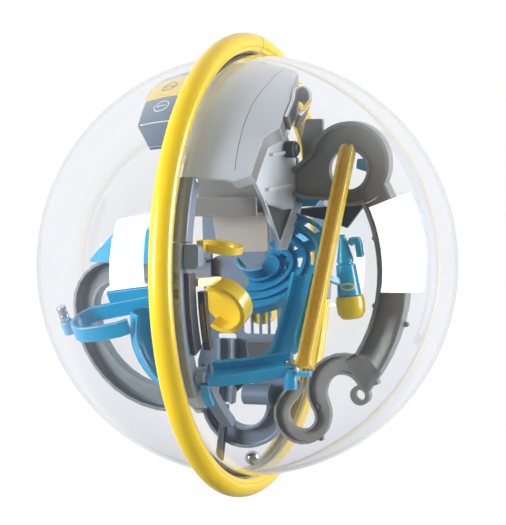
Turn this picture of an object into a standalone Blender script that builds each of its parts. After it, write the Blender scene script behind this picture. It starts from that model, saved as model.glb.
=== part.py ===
"""A clear maze globe: two half shells in a clamp ring, a maze of moulded tracks inside, and one steel ball.

Sizes are in millimetres and become metres when a mesh is made. +Z is up, +X is the axis of the clamp
ring, and the origin is the centre of the globe. The grey main track stands in the plane that crosses
the ring at a right angle, and its open side faces -Y.
"""
import bpy
import bmesh
from math import acos, cos, pi, radians, sin, sqrt
from mathutils import Vector
from mathutils.geometry import interpolate_bezier

MM = 0.001

# Globe and clamp ring
SPHERE_DIAMETER = 196.0
SHELL_WALL = 2.0
EQUATOR_GAP = 0.3
FLANGE_REACH = 5.0
FLANGE_THICK = 1.6
RING_PROUD = 10.0
RING_WIDTH = 10.4
RING_SLIT = 0.9
RING_SLIT_ANGLE = 82.0

# Ball
BALL_DIAMETER = 7.5
BALL_CLEARANCE = 0.8

# Moulded walls and clearances
FIT = 0.3
WALL = 1.6
FLOOR = 1.6
PLATE = 1.8
DOME_WALL = 2.0
DOME_SEAT = 1.6
FRAME_SEAT = 1.0
FRAME_DEPTH = 7.6
SKIRT = 8.0

# Track sections
LANE_RIM = 4.5
LANE_BANK = 7.0
LOOP_WIDTH = 11.5
LOOP_RIM = 6.0
HOOK_WIDTH = 9.6
HOOK_NECK = 6.8
HOOK_RIM = 2.6
BEAM_WIDTH = 10.4
BEAM_HEIGHT = 4.2
ARM_WIDTH = 11.0
ARM_HEIGHT = 4.6
RAIL_WIDTH = 6.4
RAIL_HEIGHT = 4.2
CHUTE_RADIUS = 9.0
PEG_RADIUS = 3.0
PIN_RADIUS = 2.3

# The maze's places are drawn for this inner radius and keep their proportion to the shell
LAYOUT_RADIUS = 96.0

SPHERE_RADIUS = SPHERE_DIAMETER / 2
RING_DIAMETER = SPHERE_DIAMETER + 2 * RING_PROUD
GLOBE = SPHERE_RADIUS - SHELL_WALL
LAYOUT = GLOBE / LAYOUT_RADIUS
DOME = GLOBE - DOME_SEAT
FRAME_INNER = GLOBE - FRAME_SEAT - FRAME_DEPTH
TRACK_Y = -12.0 * LAYOUT
TRACK_BACK = TRACK_Y + FLOOR
WEB_Y = TRACK_BACK + FIT
WEB_BACK = WEB_Y + PLATE
FRONT = Vector((0, -1, 0))
REAR = Vector((0, 1, 0))

# Finish: colour, roughness, metallic, opacity
FINISHES = {
    "clear_polystyrene": ((0.93, 0.95, 0.97), 0.03, 0.0, 0.15),
    "yellow_plastic": ((0.90, 0.64, 0.02), 0.30, 0.0, 1.0),
    "blue_plastic": ((0.02, 0.30, 0.55), 0.28, 0.0, 1.0),
    "light_grey_plastic": ((0.52, 0.53, 0.53), 0.38, 0.0, 1.0),
    "warm_grey_plastic": ((0.22, 0.21, 0.20), 0.40, 0.0, 1.0),
    "slate_plastic": ((0.14, 0.17, 0.21), 0.38, 0.0, 1.0),
    "blue_grey_plastic": ((0.30, 0.33, 0.38), 0.38, 0.0, 1.0),
    "steel": ((0.75, 0.76, 0.78), 0.12, 1.0, 1.0),
}


def finish(name):
    """The material of one moulding, made on first use."""
    material = bpy.data.materials.get(name)
    if material is None:
        colour, roughness, metallic, opacity = FINISHES[name]
        material = bpy.data.materials.new(name)
        material.use_nodes = True
        shader = material.node_tree.nodes["Principled BSDF"]
        shader.inputs["Base Color"].default_value = (*colour, 1.0)
        shader.inputs["Roughness"].default_value = roughness
        shader.inputs["Metallic"].default_value = metallic
        shader.inputs["Alpha"].default_value = opacity
    return material


def piece(name, shape, colour, parent=None):
    """A named object from a shape in millimetres, with its faces pointing out."""
    bmesh.ops.recalc_face_normals(shape, faces=shape.faces[:])
    bmesh.ops.scale(shape, vec=(MM, MM, MM), verts=shape.verts[:])
    mesh = bpy.data.meshes.new(name)
    shape.to_mesh(mesh)
    shape.free()
    mesh.shade_smooth()
    mesh.set_sharp_from_angle(angle=radians(35))
    mesh.materials.append(finish(colour))
    item = bpy.data.objects.new(name, mesh)
    item.parent = parent or bpy.data.objects["globe_centre"]
    bpy.context.collection.objects.link(item)
    return item


def combine(item, shape, operation):
    """Cut a shape out of an object, or join it on."""
    tool = piece("tool", shape, "light_grey_plastic")
    tool.hide_render = True
    tool.display_type = "WIRE"
    step = item.modifiers.new(operation.lower(), "BOOLEAN")
    step.operation = operation
    step.object = tool
    graph = bpy.context.evaluated_depsgraph_get()
    mesh = bpy.data.meshes.new_from_object(item.evaluated_get(graph))
    item.modifiers.clear()
    old = item.data
    item.data = mesh
    bpy.data.meshes.remove(old)
    bpy.data.objects.remove(tool)


def cut(item, *shapes):
    for shape in shapes:
        combine(item, shape, "DIFFERENCE")


def join(item, *shapes):
    for shape in shapes:
        combine(item, shape, "UNION")


def at(x, y, z):
    """A place in the maze, in proportion to the shell."""
    return Vector((x, y, z)) * LAYOUT


def flat(x, z, y):
    """A place on a plane that faces the front, at a true depth y."""
    return Vector((x * LAYOUT, y, z * LAYOUT))


def arc(x, z, radius, start, end, y, step=12.0):
    """Points along a turn in a plane that faces the front. Angles run from +X towards +Z."""
    count = max(2, round(abs(end - start) / step))
    turns = [radians(start + (end - start) * i / count) for i in range(count + 1)]
    return [flat(x + radius * cos(a), z + radius * sin(a), y) for a in turns]


def loft(sections, closed=False):
    """A solid skin through equal sections, capped at its ends or closed on itself."""
    shape = bmesh.new()
    rings = [[shape.verts.new(point) for point in section] for section in sections]
    pairs = list(zip(rings, rings[1:]))
    if closed:
        pairs.append((rings[-1], rings[0]))
    for near, far in pairs:
        for i in range(len(near)):
            j = (i + 1) % len(near)
            shape.faces.new((near[i], near[j], far[j], far[i]))
    if not closed:
        shape.faces.new(rings[0])
        shape.faces.new(list(reversed(rings[-1])))
    return shape


def slab(points, depth):
    """A flat outline given a thickness."""
    return loft([points, [point + depth for point in points]])


def revolve(profile, centre, axis, zero, steps, start=0.0, end=360.0):
    """Turn a profile of (radius, height) pairs about an axis, from the zero direction."""
    axis = Vector(axis).normalized()
    zero = Vector(zero).normalized()
    cross = axis.cross(zero)
    full = end - start >= 360.0
    stations = steps if full else steps + 1
    sections = []
    for i in range(stations):
        turn = radians(start + (end - start) * i / steps)
        spoke = zero * cos(turn) + cross * sin(turn)
        sections.append([centre + axis * height + spoke * radius for radius, height in profile])
    shape = loft(sections, closed=full)
    bmesh.ops.remove_doubles(shape, verts=shape.verts[:], dist=0.0001)
    return shape


def smooth(points, steps=4):
    """A rounded path through a list of places."""
    path = [points[0]]
    for i in range(len(points) - 1):
        near, far = points[i], points[i + 1]
        before = points[i - 1] if i else near
        after = points[i + 2] if i + 2 < len(points) else far
        path += interpolate_bezier(near, near + (far - before) / 6, far - (after - near) / 6, far, steps + 1)[1:]
    return path


def sweep(path, sections, up):
    """Run a section of (side, height) pairs along a path. One section and one up direction serve the
    whole path, or each point has its own. Corners are mitred."""
    if isinstance(sections[0], tuple):
        sections = [sections] * len(path)
    ups = up if isinstance(up, list) else [up] * len(path)
    rings = []
    for i, point in enumerate(path):
        before = path[i] - path[i - 1] if i else path[1] - path[0]
        after = path[i + 1] - path[i] if i + 1 < len(path) else before
        tangent = (before.normalized() + after.normalized()).normalized()
        mitre = 1.0 / tangent.dot(after.normalized())
        side = tangent.cross(ups[i]).normalized()
        rise = side.cross(tangent)
        rings.append([point + side * s * mitre + rise * h for s, h in sections[i]])
    return loft(rings)


def channel(width, rim, wall=WALL, floor=FLOOR):
    """The section of an open track, with the top of its floor at height 0."""
    half = width / 2
    inner = half - wall
    return [(-half, -floor), (half, -floor), (half, rim), (inner, rim),
            (inner, 0.0), (-inner, 0.0), (-inner, rim), (-half, rim)]


def rod(start, end, radius, sides=14):
    """A round peg between two points."""
    axis = end - start
    zero = axis.orthogonal()
    return revolve([(0.0, 0.0), (radius, 0.0), (radius, axis.length), (0.0, axis.length)],
                   start, axis, zero, sides)


def disc(x, z, radius, y_front, y_back, sides=40):
    """A round plate that faces the front."""
    return revolve([(0.0, 0.0), (radius * LAYOUT, 0.0), (radius * LAYOUT, y_back - y_front), (0.0, y_back - y_front)],
                   flat(x, z, y_front), REAR, (1, 0, 0), sides)


def rounded(corners, radius, steps=3):
    """A flat outline of (a, b) pairs with its corners rounded off."""
    outline = []
    for i, corner in enumerate(corners):
        point = Vector(corner)
        to_last = (Vector(corners[i - 1]) - point).normalized()
        to_next = (Vector(corners[(i + 1) % len(corners)]) - point).normalized()
        half = to_last.angle(to_next) / 2
        reach = radius / sin(half) * cos(half)
        first = point + to_last * reach
        last = point + to_next * reach
        centre = point + (to_last + to_next).normalized() * radius / sin(half)
        for k in range(steps + 1):
            blend = first.lerp(last, k / steps)
            outline.append(centre + (blend - centre).normalized() * radius)
    return [(p.x, p.y) for p in outline]


def plate(corners, y_front, thickness, radius=1.5):
    """A plate that faces the front, from (x, z) corners with a common corner radius."""
    points = [flat(x, z, y_front) for x, z in rounded(corners, radius)]
    return slab(points, REAR * thickness)


def rim_point(x, radius, angle):
    """A place around the ring's axis. The angle runs from -Y towards +Z."""
    return Vector((x, -radius * cos(radians(angle)), radius * sin(radians(angle))))


def rim_block(section, start, end, steps):
    """A bar that follows the equator, from (x, radius) pairs."""
    turns = [start + (end - start) * i / steps for i in range(steps + 1)]
    return loft([[rim_point(x, radius, turn) for x, radius in section] for turn in turns])


def hemisphere(name, side):
    """One clear half shell with the flange that the ring grips."""
    rim = EQUATOR_GAP / 2
    shoulder = rim + FLANGE_THICK
    reach = SPHERE_RADIUS + FLANGE_REACH
    steps = 10
    outer = acos(shoulder / SPHERE_RADIUS)
    inner = acos(rim / GLOBE)
    profile = [(SPHERE_RADIUS * sin(outer * i / steps), SPHERE_RADIUS * cos(outer * i / steps))
               for i in range(steps + 1)]
    profile += [(reach, shoulder), (reach, rim)]
    profile += [(GLOBE * sin(inner * i / steps), GLOBE * cos(inner * i / steps))
                for i in range(steps, -1, -1)]
    shape = revolve(profile, Vector(), (side, 0, 0), (0, 1, 0), 40)
    return piece(name, shape, "clear_polystyrene")


def clamp_ring():
    """The yellow ring: a round bead, a lip beside the shells, and a groove for both flanges."""
    top = RING_DIAMETER / 2
    half = RING_WIDTH / 2
    groove = EQUATOR_GAP / 2 + FLANGE_THICK + FIT
    groove_floor = SPHERE_RADIUS + FLANGE_REACH + FIT
    bead = 4.6
    lip = SPHERE_RADIUS + 1.4
    lip_half = half - 0.9
    crease = top - bead - 1.6
    dome_steps = 6
    section = []
    for i in range(dome_steps + 1):
        turn = pi * i / dome_steps
        section.append((top - bead + bead * sin(turn), -half * cos(turn)))
    section += [(crease, half), (crease - 0.5, lip_half), (lip, lip_half - 0.3), (lip, groove),
                (groove_floor, groove), (groove_floor, -groove), (lip, -groove), (lip, 0.3 - lip_half),
                (crease - 0.5, -lip_half), (crease, -half)]
    half_slit = RING_SLIT / RING_DIAMETER * 180 / pi
    shape = revolve(section, Vector(), (1, 0, 0), (0, 1, 0), 60,
                    RING_SLIT_ANGLE + half_slit, RING_SLIT_ANGLE + 360 - half_slit)
    return piece("clamp_ring", shape, "yellow_plastic")


def equator_frame():
    """The grey strips inside the ring that carry the maze on the near side, and their far pad."""
    seat = GLOBE - FRAME_SEAT
    inner = FRAME_INNER
    gap = FIT / inner * 180 / pi
    step = 11.5
    end = -32.0
    piece("frame_strip_upper", rim_block([(2.0, inner), (8.6, inner), (8.6, seat - 0.6), (7.8, seat - 0.2),
                                          (2.0, seat)], step + gap, COVER_START - gap, 4), "blue_grey_plastic")
    lower = piece("frame_strip_lower", rim_block([(2.0, inner), (6.2, inner), (6.2, seat - 0.7), (5.6, seat - 0.1),
                                                  (2.0, seat)], end, step, 9), "blue_grey_plastic")
    for top, bottom in ((3.6, 0.9), (-0.7, -3.1)):
        cut(lower, rim_block([(2.9, inner - 2), (5.3, inner - 2), (5.3, seat + 2), (2.9, seat + 2)], bottom, top, 1))
    tab = [(x, s) for x, s in rounded([(6.5, -4.6), (13.6, -4.6), (13.6, 6.2), (6.5, 6.2)], 1.8)]
    level = radians(7.4)
    along = Vector((0, sin(level), cos(level)))
    out = Vector((0, -cos(level), sin(level)))
    base = out * (inner - 1.0)
    piece("frame_tab", slab([Vector((x, 0, 0)) + base + along * s for x, s in tab], out * 6.0), "warm_grey_plastic")
    piece("frame_rail", rim_block([(6.5, inner - 4), (8.6, inner - 4), (8.6, inner + 3.4), (6.5, inner + 3.4)],
                                  -20.0, 3.4, 4), "slate_plastic")
    guide = piece("frame_guide", rim_block([(8.6 + FIT, inner - 8), (12.4, inner - 8), (12.4, inner - 4.4),
                                            (8.6 + FIT, inner - 4.4)], -21.0, -2.4, 4), "slate_plastic")
    cut(guide, rim_block([(10.0, inner - 10), (11.2, inner - 10), (11.2, inner - 2), (10.0, inner - 2)], -18.0, -6.0, 3))
    strap = []
    for i in range(5):
        turn = -27.0 - 5.75 * i
        near = 3.5 + 1.15 * i
        strap.append([rim_point(near, inner - 5, turn), rim_point(near + 5.4, inner - 5, turn),
                      rim_point(near + 5.4, inner - FIT, turn), rim_point(near, inner - FIT, turn)])
    piece("frame_strap", loft(strap), "warm_grey_plastic")
    piece("far_frame_strip", rim_block([(2.0, inner), (8.6, inner), (8.6, seat - 0.6), (2.0, seat)],
                                       164.0, 196.0, 5), "light_grey_plastic")


# The start cover's edges: angle around the ring's axis, left edge, right edge
COVER_START = 29.5
COVER_CREASE = 24.0
COVER_EDGES = [(COVER_START, 2.4, 25.7), (32.0, 2.4, 32.0), (36.0, 2.4, 32.4), (37.0, -9.5, 32.5), (45.5, -9.5, 33.2),
               (50.5, -9.5, 38.0), (64.0, -9.5, 36.8), (76.5, -9.5, 32.5), (86.0, -9.5, 29.5)]


def dome_point(x, depth, angle):
    """A place on the dome, sunk by a depth along the radius."""
    return rim_point(x, sqrt(DOME ** 2 - x ** 2) - depth, angle)


def dome_stations(edges, step=6.0):
    """Stations along a dome panel, close enough to follow the globe."""
    stations = []
    for (a, left, right), (b, next_left, next_right) in zip(edges, edges[1:]):
        count = max(1, round((b - a) / step))
        for i in range(count):
            share = i / count
            stations.append((a + (b - a) * share, left + (next_left - left) * share,
                             right + (next_right - right) * share))
    return stations + [edges[-1]]


def start_cover():
    """The domed cover over the start chamber, with a skirt down both sides."""
    sections = []
    for angle, left, right in dome_stations([(a, l * LAYOUT, r * LAYOUT) for a, l, r in COVER_EDGES]):
        crease = min(COVER_CREASE * LAYOUT, right - 2 * DOME_WALL)
        middle = (left + crease) / 2
        sections.append([dome_point(left, 0, angle), dome_point(middle, 0, angle), dome_point(crease, 0, angle),
                         dome_point(right, 1.0, angle), dome_point(right, SKIRT, angle),
                         dome_point(right - DOME_WALL, SKIRT, angle),
                         dome_point(right - DOME_WALL, DOME_WALL + 0.8, angle), dome_point(crease, DOME_WALL, angle),
                         dome_point(middle, DOME_WALL, angle), dome_point(left + DOME_WALL, DOME_WALL, angle),
                         dome_point(left + DOME_WALL, SKIRT, angle), dome_point(left, SKIRT, angle)])
    piece("start_cover", loft(sections), "light_grey_plastic")


def number_plate(name, edges, colour):
    """A plain dome panel beside the cover."""
    sections = []
    for angle, left, right in dome_stations([(a, l * LAYOUT, r * LAYOUT) for a, l, r in edges]):
        middle = (left + right) / 2
        sections.append([dome_point(left, 0, angle), dome_point(middle, 0, angle), dome_point(right, 0, angle),
                         dome_point(right, DOME_WALL, angle), dome_point(middle, DOME_WALL, angle),
                         dome_point(left, DOME_WALL, angle)])
    piece(name, loft(sections), colour)


def number_plates():
    edge = COVER_EDGES[3][1] - FIT
    number_plate("number_plate_one", [(39.0, -16.6, edge), (48.0, -26.7, edge), (59.2, -28.7, edge)], "slate_plastic")
    number_plate("number_plate_two", [(59.6, -29.0, edge), (62.7, -30.5, edge), (72.5, -31.8, edge)], "yellow_plastic")
    number_plate("number_plate_three", [(72.9, -32.0, edge), (76.4, -31.0, edge)], "slate_plastic")


WALL_X = 27.2


def start_chamber():
    """Under the cover: a tray, the panel that hangs from it, and the side wall that carries both."""
    left = WALL_X * LAYOUT
    right = left + PLATE
    tray_end = left - FIT
    tray_start = -6.5 * LAYOUT
    front, back = -56.0 * LAYOUT, -41.0 * LAYOUT
    low = 28.7 * LAYOUT
    section = [(front, low - FLOOR), (front, low + 7.0), (front + WALL, low + 7.0), (front + WALL, low),
               (back - WALL, low), (back - WALL, low + 26.0), (back, low + 26.0), (back, low - FLOOR)]
    tray = [Vector((tray_start, y, z)) for y, z in section]
    piece("start_tray", slab(tray, Vector((tray_end - tray_start, 0, 0))), "light_grey_plastic")
    panel_top = (low - FLOOR - FIT) / LAYOUT
    panel_end = tray_end / LAYOUT
    corners = [(0.3, panel_top), (panel_end, panel_top), (panel_end, 10.5), (13.7, 10.1), (2.0, 15.3)]
    piece("start_panel", plate(corners, back - PLATE, PLATE), "warm_grey_plastic")

    under = sqrt((DOME - DOME_WALL) ** 2 - right ** 2) - FIT - 0.5
    outline = [rim_point(left, under, turn) for turn in (35.5, 39.5, 43.5, 47.5, 51.5)]
    tip = at(0, -32.0, 10.3)
    corner = Vector((0, TRACK_BACK, 29.0 * LAYOUT))
    rear = [at(0, -25.0, 65.7), Vector((0, TRACK_BACK, 50.0 * LAYOUT)), corner, tip, at(0, -53.0, 35.3)]
    outline += [Vector((left, p.y, p.z)) for p in rear]
    wall = piece("start_wall", slab(outline, Vector((PLATE, 0, 0))), "light_grey_plastic")
    edge = (corner - tip).normalized()
    inward = Vector((0, -edge.z, edge.y)) * WALL
    lip = [tip, corner, corner + inward, tip + inward]
    lip_start = Vector((left, 0, 0))
    join(wall, slab([lip_start + p for p in lip], Vector((PLATE + 3.0, 0, 0))))
    for low_end, high_end in (((-50, 38), (-20, 38)), ((-44, 53), (-28.5, 53))):
        rib = [Vector((left + 0.5, y * LAYOUT, z * LAYOUT + s)) for (y, z), s in
               ((low_end, 0), (high_end, 0), (high_end, 1.4), (low_end, 1.4))]
        join(wall, slab(rib, Vector((PLATE + 1.4, 0, 0))))
    for name, y, z, radius, reach, colour in (("start_knob", -23.6, 55.0, 3.8, 6.0, "slate_plastic"),
                                              ("start_stud", -33.0, 63.6, 2.6, 5.0, "light_grey_plastic")):
        base = Vector((right + FIT, y * LAYOUT, z * LAYOUT))
        shape = [(0.0, 0.0), (radius, 0.0), (radius, reach - 1.4), (radius * 0.6, reach), (0.0, reach)]
        piece(name, revolve(shape, base, (1, 0, 0), (0, 1, 0), 16), colour)


def start_loop():
    """The bent strip that rises along the cover's right edge and turns over, and the yellow tips on its outer edge."""
    beside = (FIT + WALL / 2) / LAYOUT
    turns = [(37.6 + beside, 55.5), (36.8 + beside, 64.0), (34.8 + beside, 70.5), (37.6, 74.2), (41.6, 72.8),
             (44.4, 66.5), (43.4, 58.5)]
    path = smooth([dome_point(x * LAYOUT, 0.5, angle) for x, angle in turns], 3)
    leans = [min(1.0, max(0.0, (i - 6) / 4)) for i in range(len(path))]
    ups = [Vector((point.x * lean, point.y, point.z)).normalized() for point, lean in zip(path, leans)]
    strip = [(-WALL / 2, -7.0), (WALL / 2, -7.0), (WALL / 2, 0.0), (-WALL / 2, 0.0)]
    piece("start_loop", sweep(path, strip, ups), "light_grey_plastic")
    tip = [(-1.1, FIT), (1.1, FIT), (0.8, 1.2), (-0.8, 1.2)]
    for name, first, last in (("start_tip_upper", 7, 10), ("start_tip_lower", 15, 18)):
        piece(name, sweep(path[first:last], tip, ups[first:last]), "yellow_plastic")


# Main track: circles as (x, z, radius) in the layout
DISH = (56.3, 47.8, 19.0)
DISH_HOLE = (55.2, 45.1, 8.9)
LANE_INNER = 69.0
LANE_OUTER = 83.5
LANE_END = -33.5
HOOK_TOP = (50.6, -56.1, 12.9)
HOOK_LOOP = (30.4, -67.3, 10.2)
EYELET = (58.8, -57.2, 4.6, 2.5)
LEFT_TURN = (-60.0, -18.4, 16.6)
LEFT_SWEEP = (-33.0, -18.4, 43.6)
BOTTOM_LOOP = (0.4, -63.4, 16.4)
SPIRAL = (13.0, 0.0)

# Blue beam and the rise of its arm, as places in the layout
BEAM_PATH = [(11.2, -74.2, -41.0), (15.0, -74.0, -41.0), (27.0, -68.5, -40.2), (43.0, -58.5, -38.0)]
ARM_RISE = [(42.0, -48.4, -18.0), (43.2, -42.2, -6.7), (43.8, -39.4, -0.5)]
ARM_TILT = Vector((-0.2, -0.95, -0.2))


def dish_outline(inlet):
    """The dish with its spout, as (x, z) pairs around from the spout's lower edge to the inlet."""
    x, z, radius = DISH
    turns = [radians(-120.7 + 286.3 * i / 30) for i in range(31)]
    outline = [(x + radius * cos(a), z + radius * sin(a)) for a in turns]
    upper_x, upper_z = outline[-1]
    lower_x, lower_z = 37.6, outline[0][1]
    return outline + [(inlet, upper_z - 0.757 * (upper_x - inlet)), (inlet, lower_z + 0.253 * (lower_x - inlet)),
                      (lower_x, lower_z)]


def inset(corners, distance):
    """A flat outline, counter-clockwise, moved in by a distance."""
    moved = []
    for i, corner in enumerate(corners):
        point = Vector(corner)
        before = (point - Vector(corners[i - 1])).normalized()
        after = (Vector(corners[(i + 1) % len(corners)]) - point).normalized()
        inward = Vector((-before.y - after.y, before.x + after.x)).normalized()
        reach = distance / inward.dot(Vector((-after.y, after.x)))
        moved.append((point.x + inward.x * reach, point.y + inward.y * reach))
    return moved


def dish_track():
    """The round dish with its off-centre hole, its inlet from the start chamber and its mouth to the lane."""
    front = TRACK_Y - LANE_RIM
    above = front - 2
    inlet = (WALL_X * LAYOUT + PLATE + FIT) / LAYOUT
    thin = WALL / LAYOUT
    body = [flat(a, b, front) for a, b in dish_outline(inlet)]
    hollow = [flat(a, b, above) for a, b in inset(dish_outline(inlet - 5), thin)]
    item = piece("dish_track", slab(body, REAR * (TRACK_BACK - front)), "warm_grey_plastic")
    cut(item, slab(hollow, REAR * (TRACK_Y - above)))
    mouth = [arc(0, 0, r, 8, 38, above, 6) for r in (LANE_INNER + thin, LANE_OUTER - thin)]
    cut(item, slab(mouth[0] + mouth[1][::-1], REAR * (TRACK_Y + 0.05 - above)))
    tab = [(33.4, 48.6), (36.9, 51.2), (40.3, 56.8), (42.9, 59.9), (43.2, 68.0), (35.4, 68.0), (33.2, 60.0)]
    join(item, plate(tab, TRACK_Y - 1.3, FLOOR + 1.1, 0.8))
    hole_x, hole_z, hole = DISH_HOLE
    join(item, disc(hole_x, hole_z, hole + 1.3, TRACK_Y - 2.4, TRACK_Y + 0.5, 28))
    cut(item, disc(hole_x, hole_z, hole, above, TRACK_BACK + 2, 28))
    latch = [(56.4, 45.2), (61.0, 43.8), (70.0, 43.8), (70.0, 49.6), (57.0, 49.6)]
    item = piece("dish_latch", plate(latch, TRACK_BACK + 4.2, PLATE, 0.8), "blue_plastic")
    leg = [(65.0, 44.2), (69.6, 44.2), (69.6, 49.2), (65.0, 49.2)]
    join(item, plate(leg, TRACK_BACK + FIT, 4.6, 0.5))


def right_lane():
    """The long curved lane with a banked outer side. It is trimmed to the dish."""
    inner, outer = LANE_INNER * LAYOUT, LANE_OUTER * LAYOUT
    profile = [(inner, -FLOOR), (outer, -FLOOR), (outer, LANE_BANK), (outer - 1.0, LANE_BANK), (outer - 2.5, 3.0),
               (outer - 8.5, 0.0), (inner + WALL, 0.0), (inner + WALL, LANE_RIM), (inner, LANE_RIM)]
    item = piece("right_lane", revolve(profile, Vector((0, TRACK_Y, 0)), FRONT, (1, 0, 0), 12, LANE_END, 33.0),
                 "warm_grey_plastic")
    x, z, radius = DISH
    cut(item, disc(x, z, radius + FIT / LAYOUT, TRACK_Y - LANE_BANK - 3, TRACK_BACK + 3))
    nubs = ((12.0, 1), (-14.0, 1), (-17.0, -1))
    for turn, side in nubs:
        edge = LANE_INNER - 0.8 if side > 0 else LANE_OUTER + 0.8
        join(item, disc(edge * cos(radians(turn)), edge * sin(radians(turn)), 1.2, TRACK_Y - 1, TRACK_BACK - 0.2, 10))


def hook_track():
    """The S-shaped end of the main track, with the mouth that takes the lane and a screw eyelet."""
    x, z, radius = HOOK_TOP
    loop_x, loop_z, loop_radius = HOOK_LOOP
    path = arc(x, z, radius, 12, 209, TRACK_Y, 15) + arc(loop_x, loop_z, loop_radius, 29, -228, TRACK_Y, 15)[1:]
    path.append(path[-1] + (path[-1] - path[-2]).normalized() * 9.0)
    top = len(arc(x, z, radius, 12, 209, TRACK_Y, 15))
    sections = []
    for i in range(len(path)):
        share = min(1.0, max(0.0, (i - top + 4) / 6))
        sections.append(channel(HOOK_WIDTH + (HOOK_NECK - HOOK_WIDTH) * share, HOOK_RIM, 1.2))
    item = piece("hook_track", sweep(path, sections, FRONT), "warm_grey_plastic")
    front = TRACK_Y - HOOK_RIM + 0.1
    back = TRACK_BACK - 0.1
    gap = FIT / LAYOUT / LANE_OUTER * 180 / pi
    corners = [arc(0, 0, r, LANE_END - gap - 4, LANE_END - gap, front)[-1] for r in (LANE_INNER, LANE_OUTER)]
    body = corners + [flat(a, b, front) for a, b in ((63.2, -55.0), (60.0, -57.0), (57.5, -52.0), (51.0, -39.6))]
    join(item, slab(body, REAR * (back - front)))
    above = front - 2
    floor = TRACK_Y + 0.05
    mouth = [arc(0, 0, r, LANE_END - 4, LANE_END + 4, above)[-1] for r in (LANE_INNER + 1.4, LANE_OUTER - 1.4)]
    mouth += [flat(a, b, above) for a, b in ((61.4, -54.3), (59.5, -51.0), (54.5, -45.0), (52.5, -41.6))]
    cut(item, slab(mouth, REAR * (floor - above)))
    eye_x, eye_z, eye, bore = EYELET
    join(item, disc(eye_x, eye_z, eye, front - 0.3, back - 0.1, 20))
    cut(item, disc(eye_x, eye_z, bore, above, TRACK_BACK + 2, 16))
    for nub_x, nub_z in ((37.4, -63.5), (39.0, -78.0)):
        join(item, disc(nub_x, nub_z, 1.2, TRACK_Y - 1, back - 0.2, 10))


def left_loop():
    """The round lane in the left half: a tight turn, a wide sweep, and straight tails to the centre web."""
    x, z, radius = LEFT_TURN
    wide_x, wide_z, wide = LEFT_SWEEP
    path = [flat(-13.5, z + radius, TRACK_Y)] + arc(x, z, radius, 90, 180, TRACK_Y, 15)
    path += arc(wide_x, wide_z, wide, 180, 270, TRACK_Y, 9)[1:]
    path.append(flat(-17.5, wide_z - wide, TRACK_Y))
    piece("left_loop", sweep(path, channel(LOOP_WIDTH, LOOP_RIM), FRONT), "warm_grey_plastic")


def bottom_loop():
    """The crescent lane at the bottom, behind the main track and under the web."""
    x, z, radius = BOTTOM_LOOP
    floor_y = WEB_Y + LANE_RIM
    path = arc(x, z, radius, 180, 360, floor_y, 12)
    piece("bottom_loop", sweep(path, channel(10.2, LANE_RIM), FRONT), "slate_plastic")


def center_web():
    """The upright plate behind the main track that carries the tracks on both of its sides."""
    foot = BOTTOM_LOOP[1] + 2.5 * FIT / LAYOUT
    corners = [(-18.0, 25.5), (14.0, 25.5), (16.0, 51.0), (30.0, 51.0), (30.0, 22.0), (27.0, 14.0), (25.0, -44.0),
               (23.0, foot), (10.0, foot), (4.0, -52.0), (-8.0, foot), (-22.0, foot), (-22.0, -44.0), (-18.0, -30.0)]
    web = piece("center_web", plate(corners, WEB_Y, PLATE, 2.0), "slate_plastic")
    windows = [[(1.0, -17.0), (18.0, -17.0), (18.0, -31.0), (1.0, -31.0)],
               [(-13.5, -31.0), (-2.5, -31.0), (-2.5, -44.0)],
               [(18.5, 30.0), (26.5, 30.0), (26.5, 46.0), (20.0, 46.0)],
               [(-14.0, 10.0), (-8.5, 10.0), (-8.5, -20.0), (-14.0, -20.0)]]
    for window in windows:
        cut(web, plate(window, WEB_Y - 2, PLATE + 4, 1.2))
    drum = flat(2.9, -58.4, WEB_Y - 4.5)
    join(web, rod(drum, drum + Vector((13.2, 0, 0)), 4.8, 20))


def web_details():
    """What stands on the front of the web: a chute, a shade panel, a rib to the globe's floor and the shelf."""
    chute = [flat(-5.6, -33.0, TRACK_Y), flat(-5.8, -48.0, TRACK_Y), flat(-7.4, -63.0, TRACK_Y)]
    piece("web_chute", sweep(chute, channel(8.4, 3.6), FRONT), "slate_plastic")
    front = TRACK_BACK - PLATE
    piece("shade_panel", plate([(2.8, -34.0), (20.0, -34.0), (20.0, -46.0), (4.6, -46.0)], front, PLATE),
          "warm_grey_plastic")
    rib = [(-6.4, -64.0), (-9.2, -64.0), (-13.4, -91.0), (-10.2, -91.4)]
    piece("bottom_rib", plate(rib, TRACK_BACK - 3.6, 3.6, 0.8), "slate_plastic")
    side = 30.0 + FIT
    shelf = [(side, 27.4), (44.0, 28.2), (62.0, 29.5), (53.0, 18.3), (44.0, 21.5), (side, 24.4)]
    piece("dark_shelf", plate(shelf, WEB_Y, PLATE, 0.8), "warm_grey_plastic")
    flag = [(side, 34.0), (38.6, 41.5), (43.6, 35.0), (38.0, 28.1 + FIT), (side, 27.6 + FIT)]
    piece("blue_flag", plate(flag, WEB_Y, PLATE, 0.6), "blue_plastic")


def squeeze(shape, centre, way, above, below):
    """Draw a shape in towards a plane through a centre, by one share above the plane and another below it."""
    for vert in shape.verts:
        reach = (vert.co - centre).dot(way)
        vert.co -= way * reach * (1.0 - (above if reach > 0 else below))
    return shape


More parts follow.
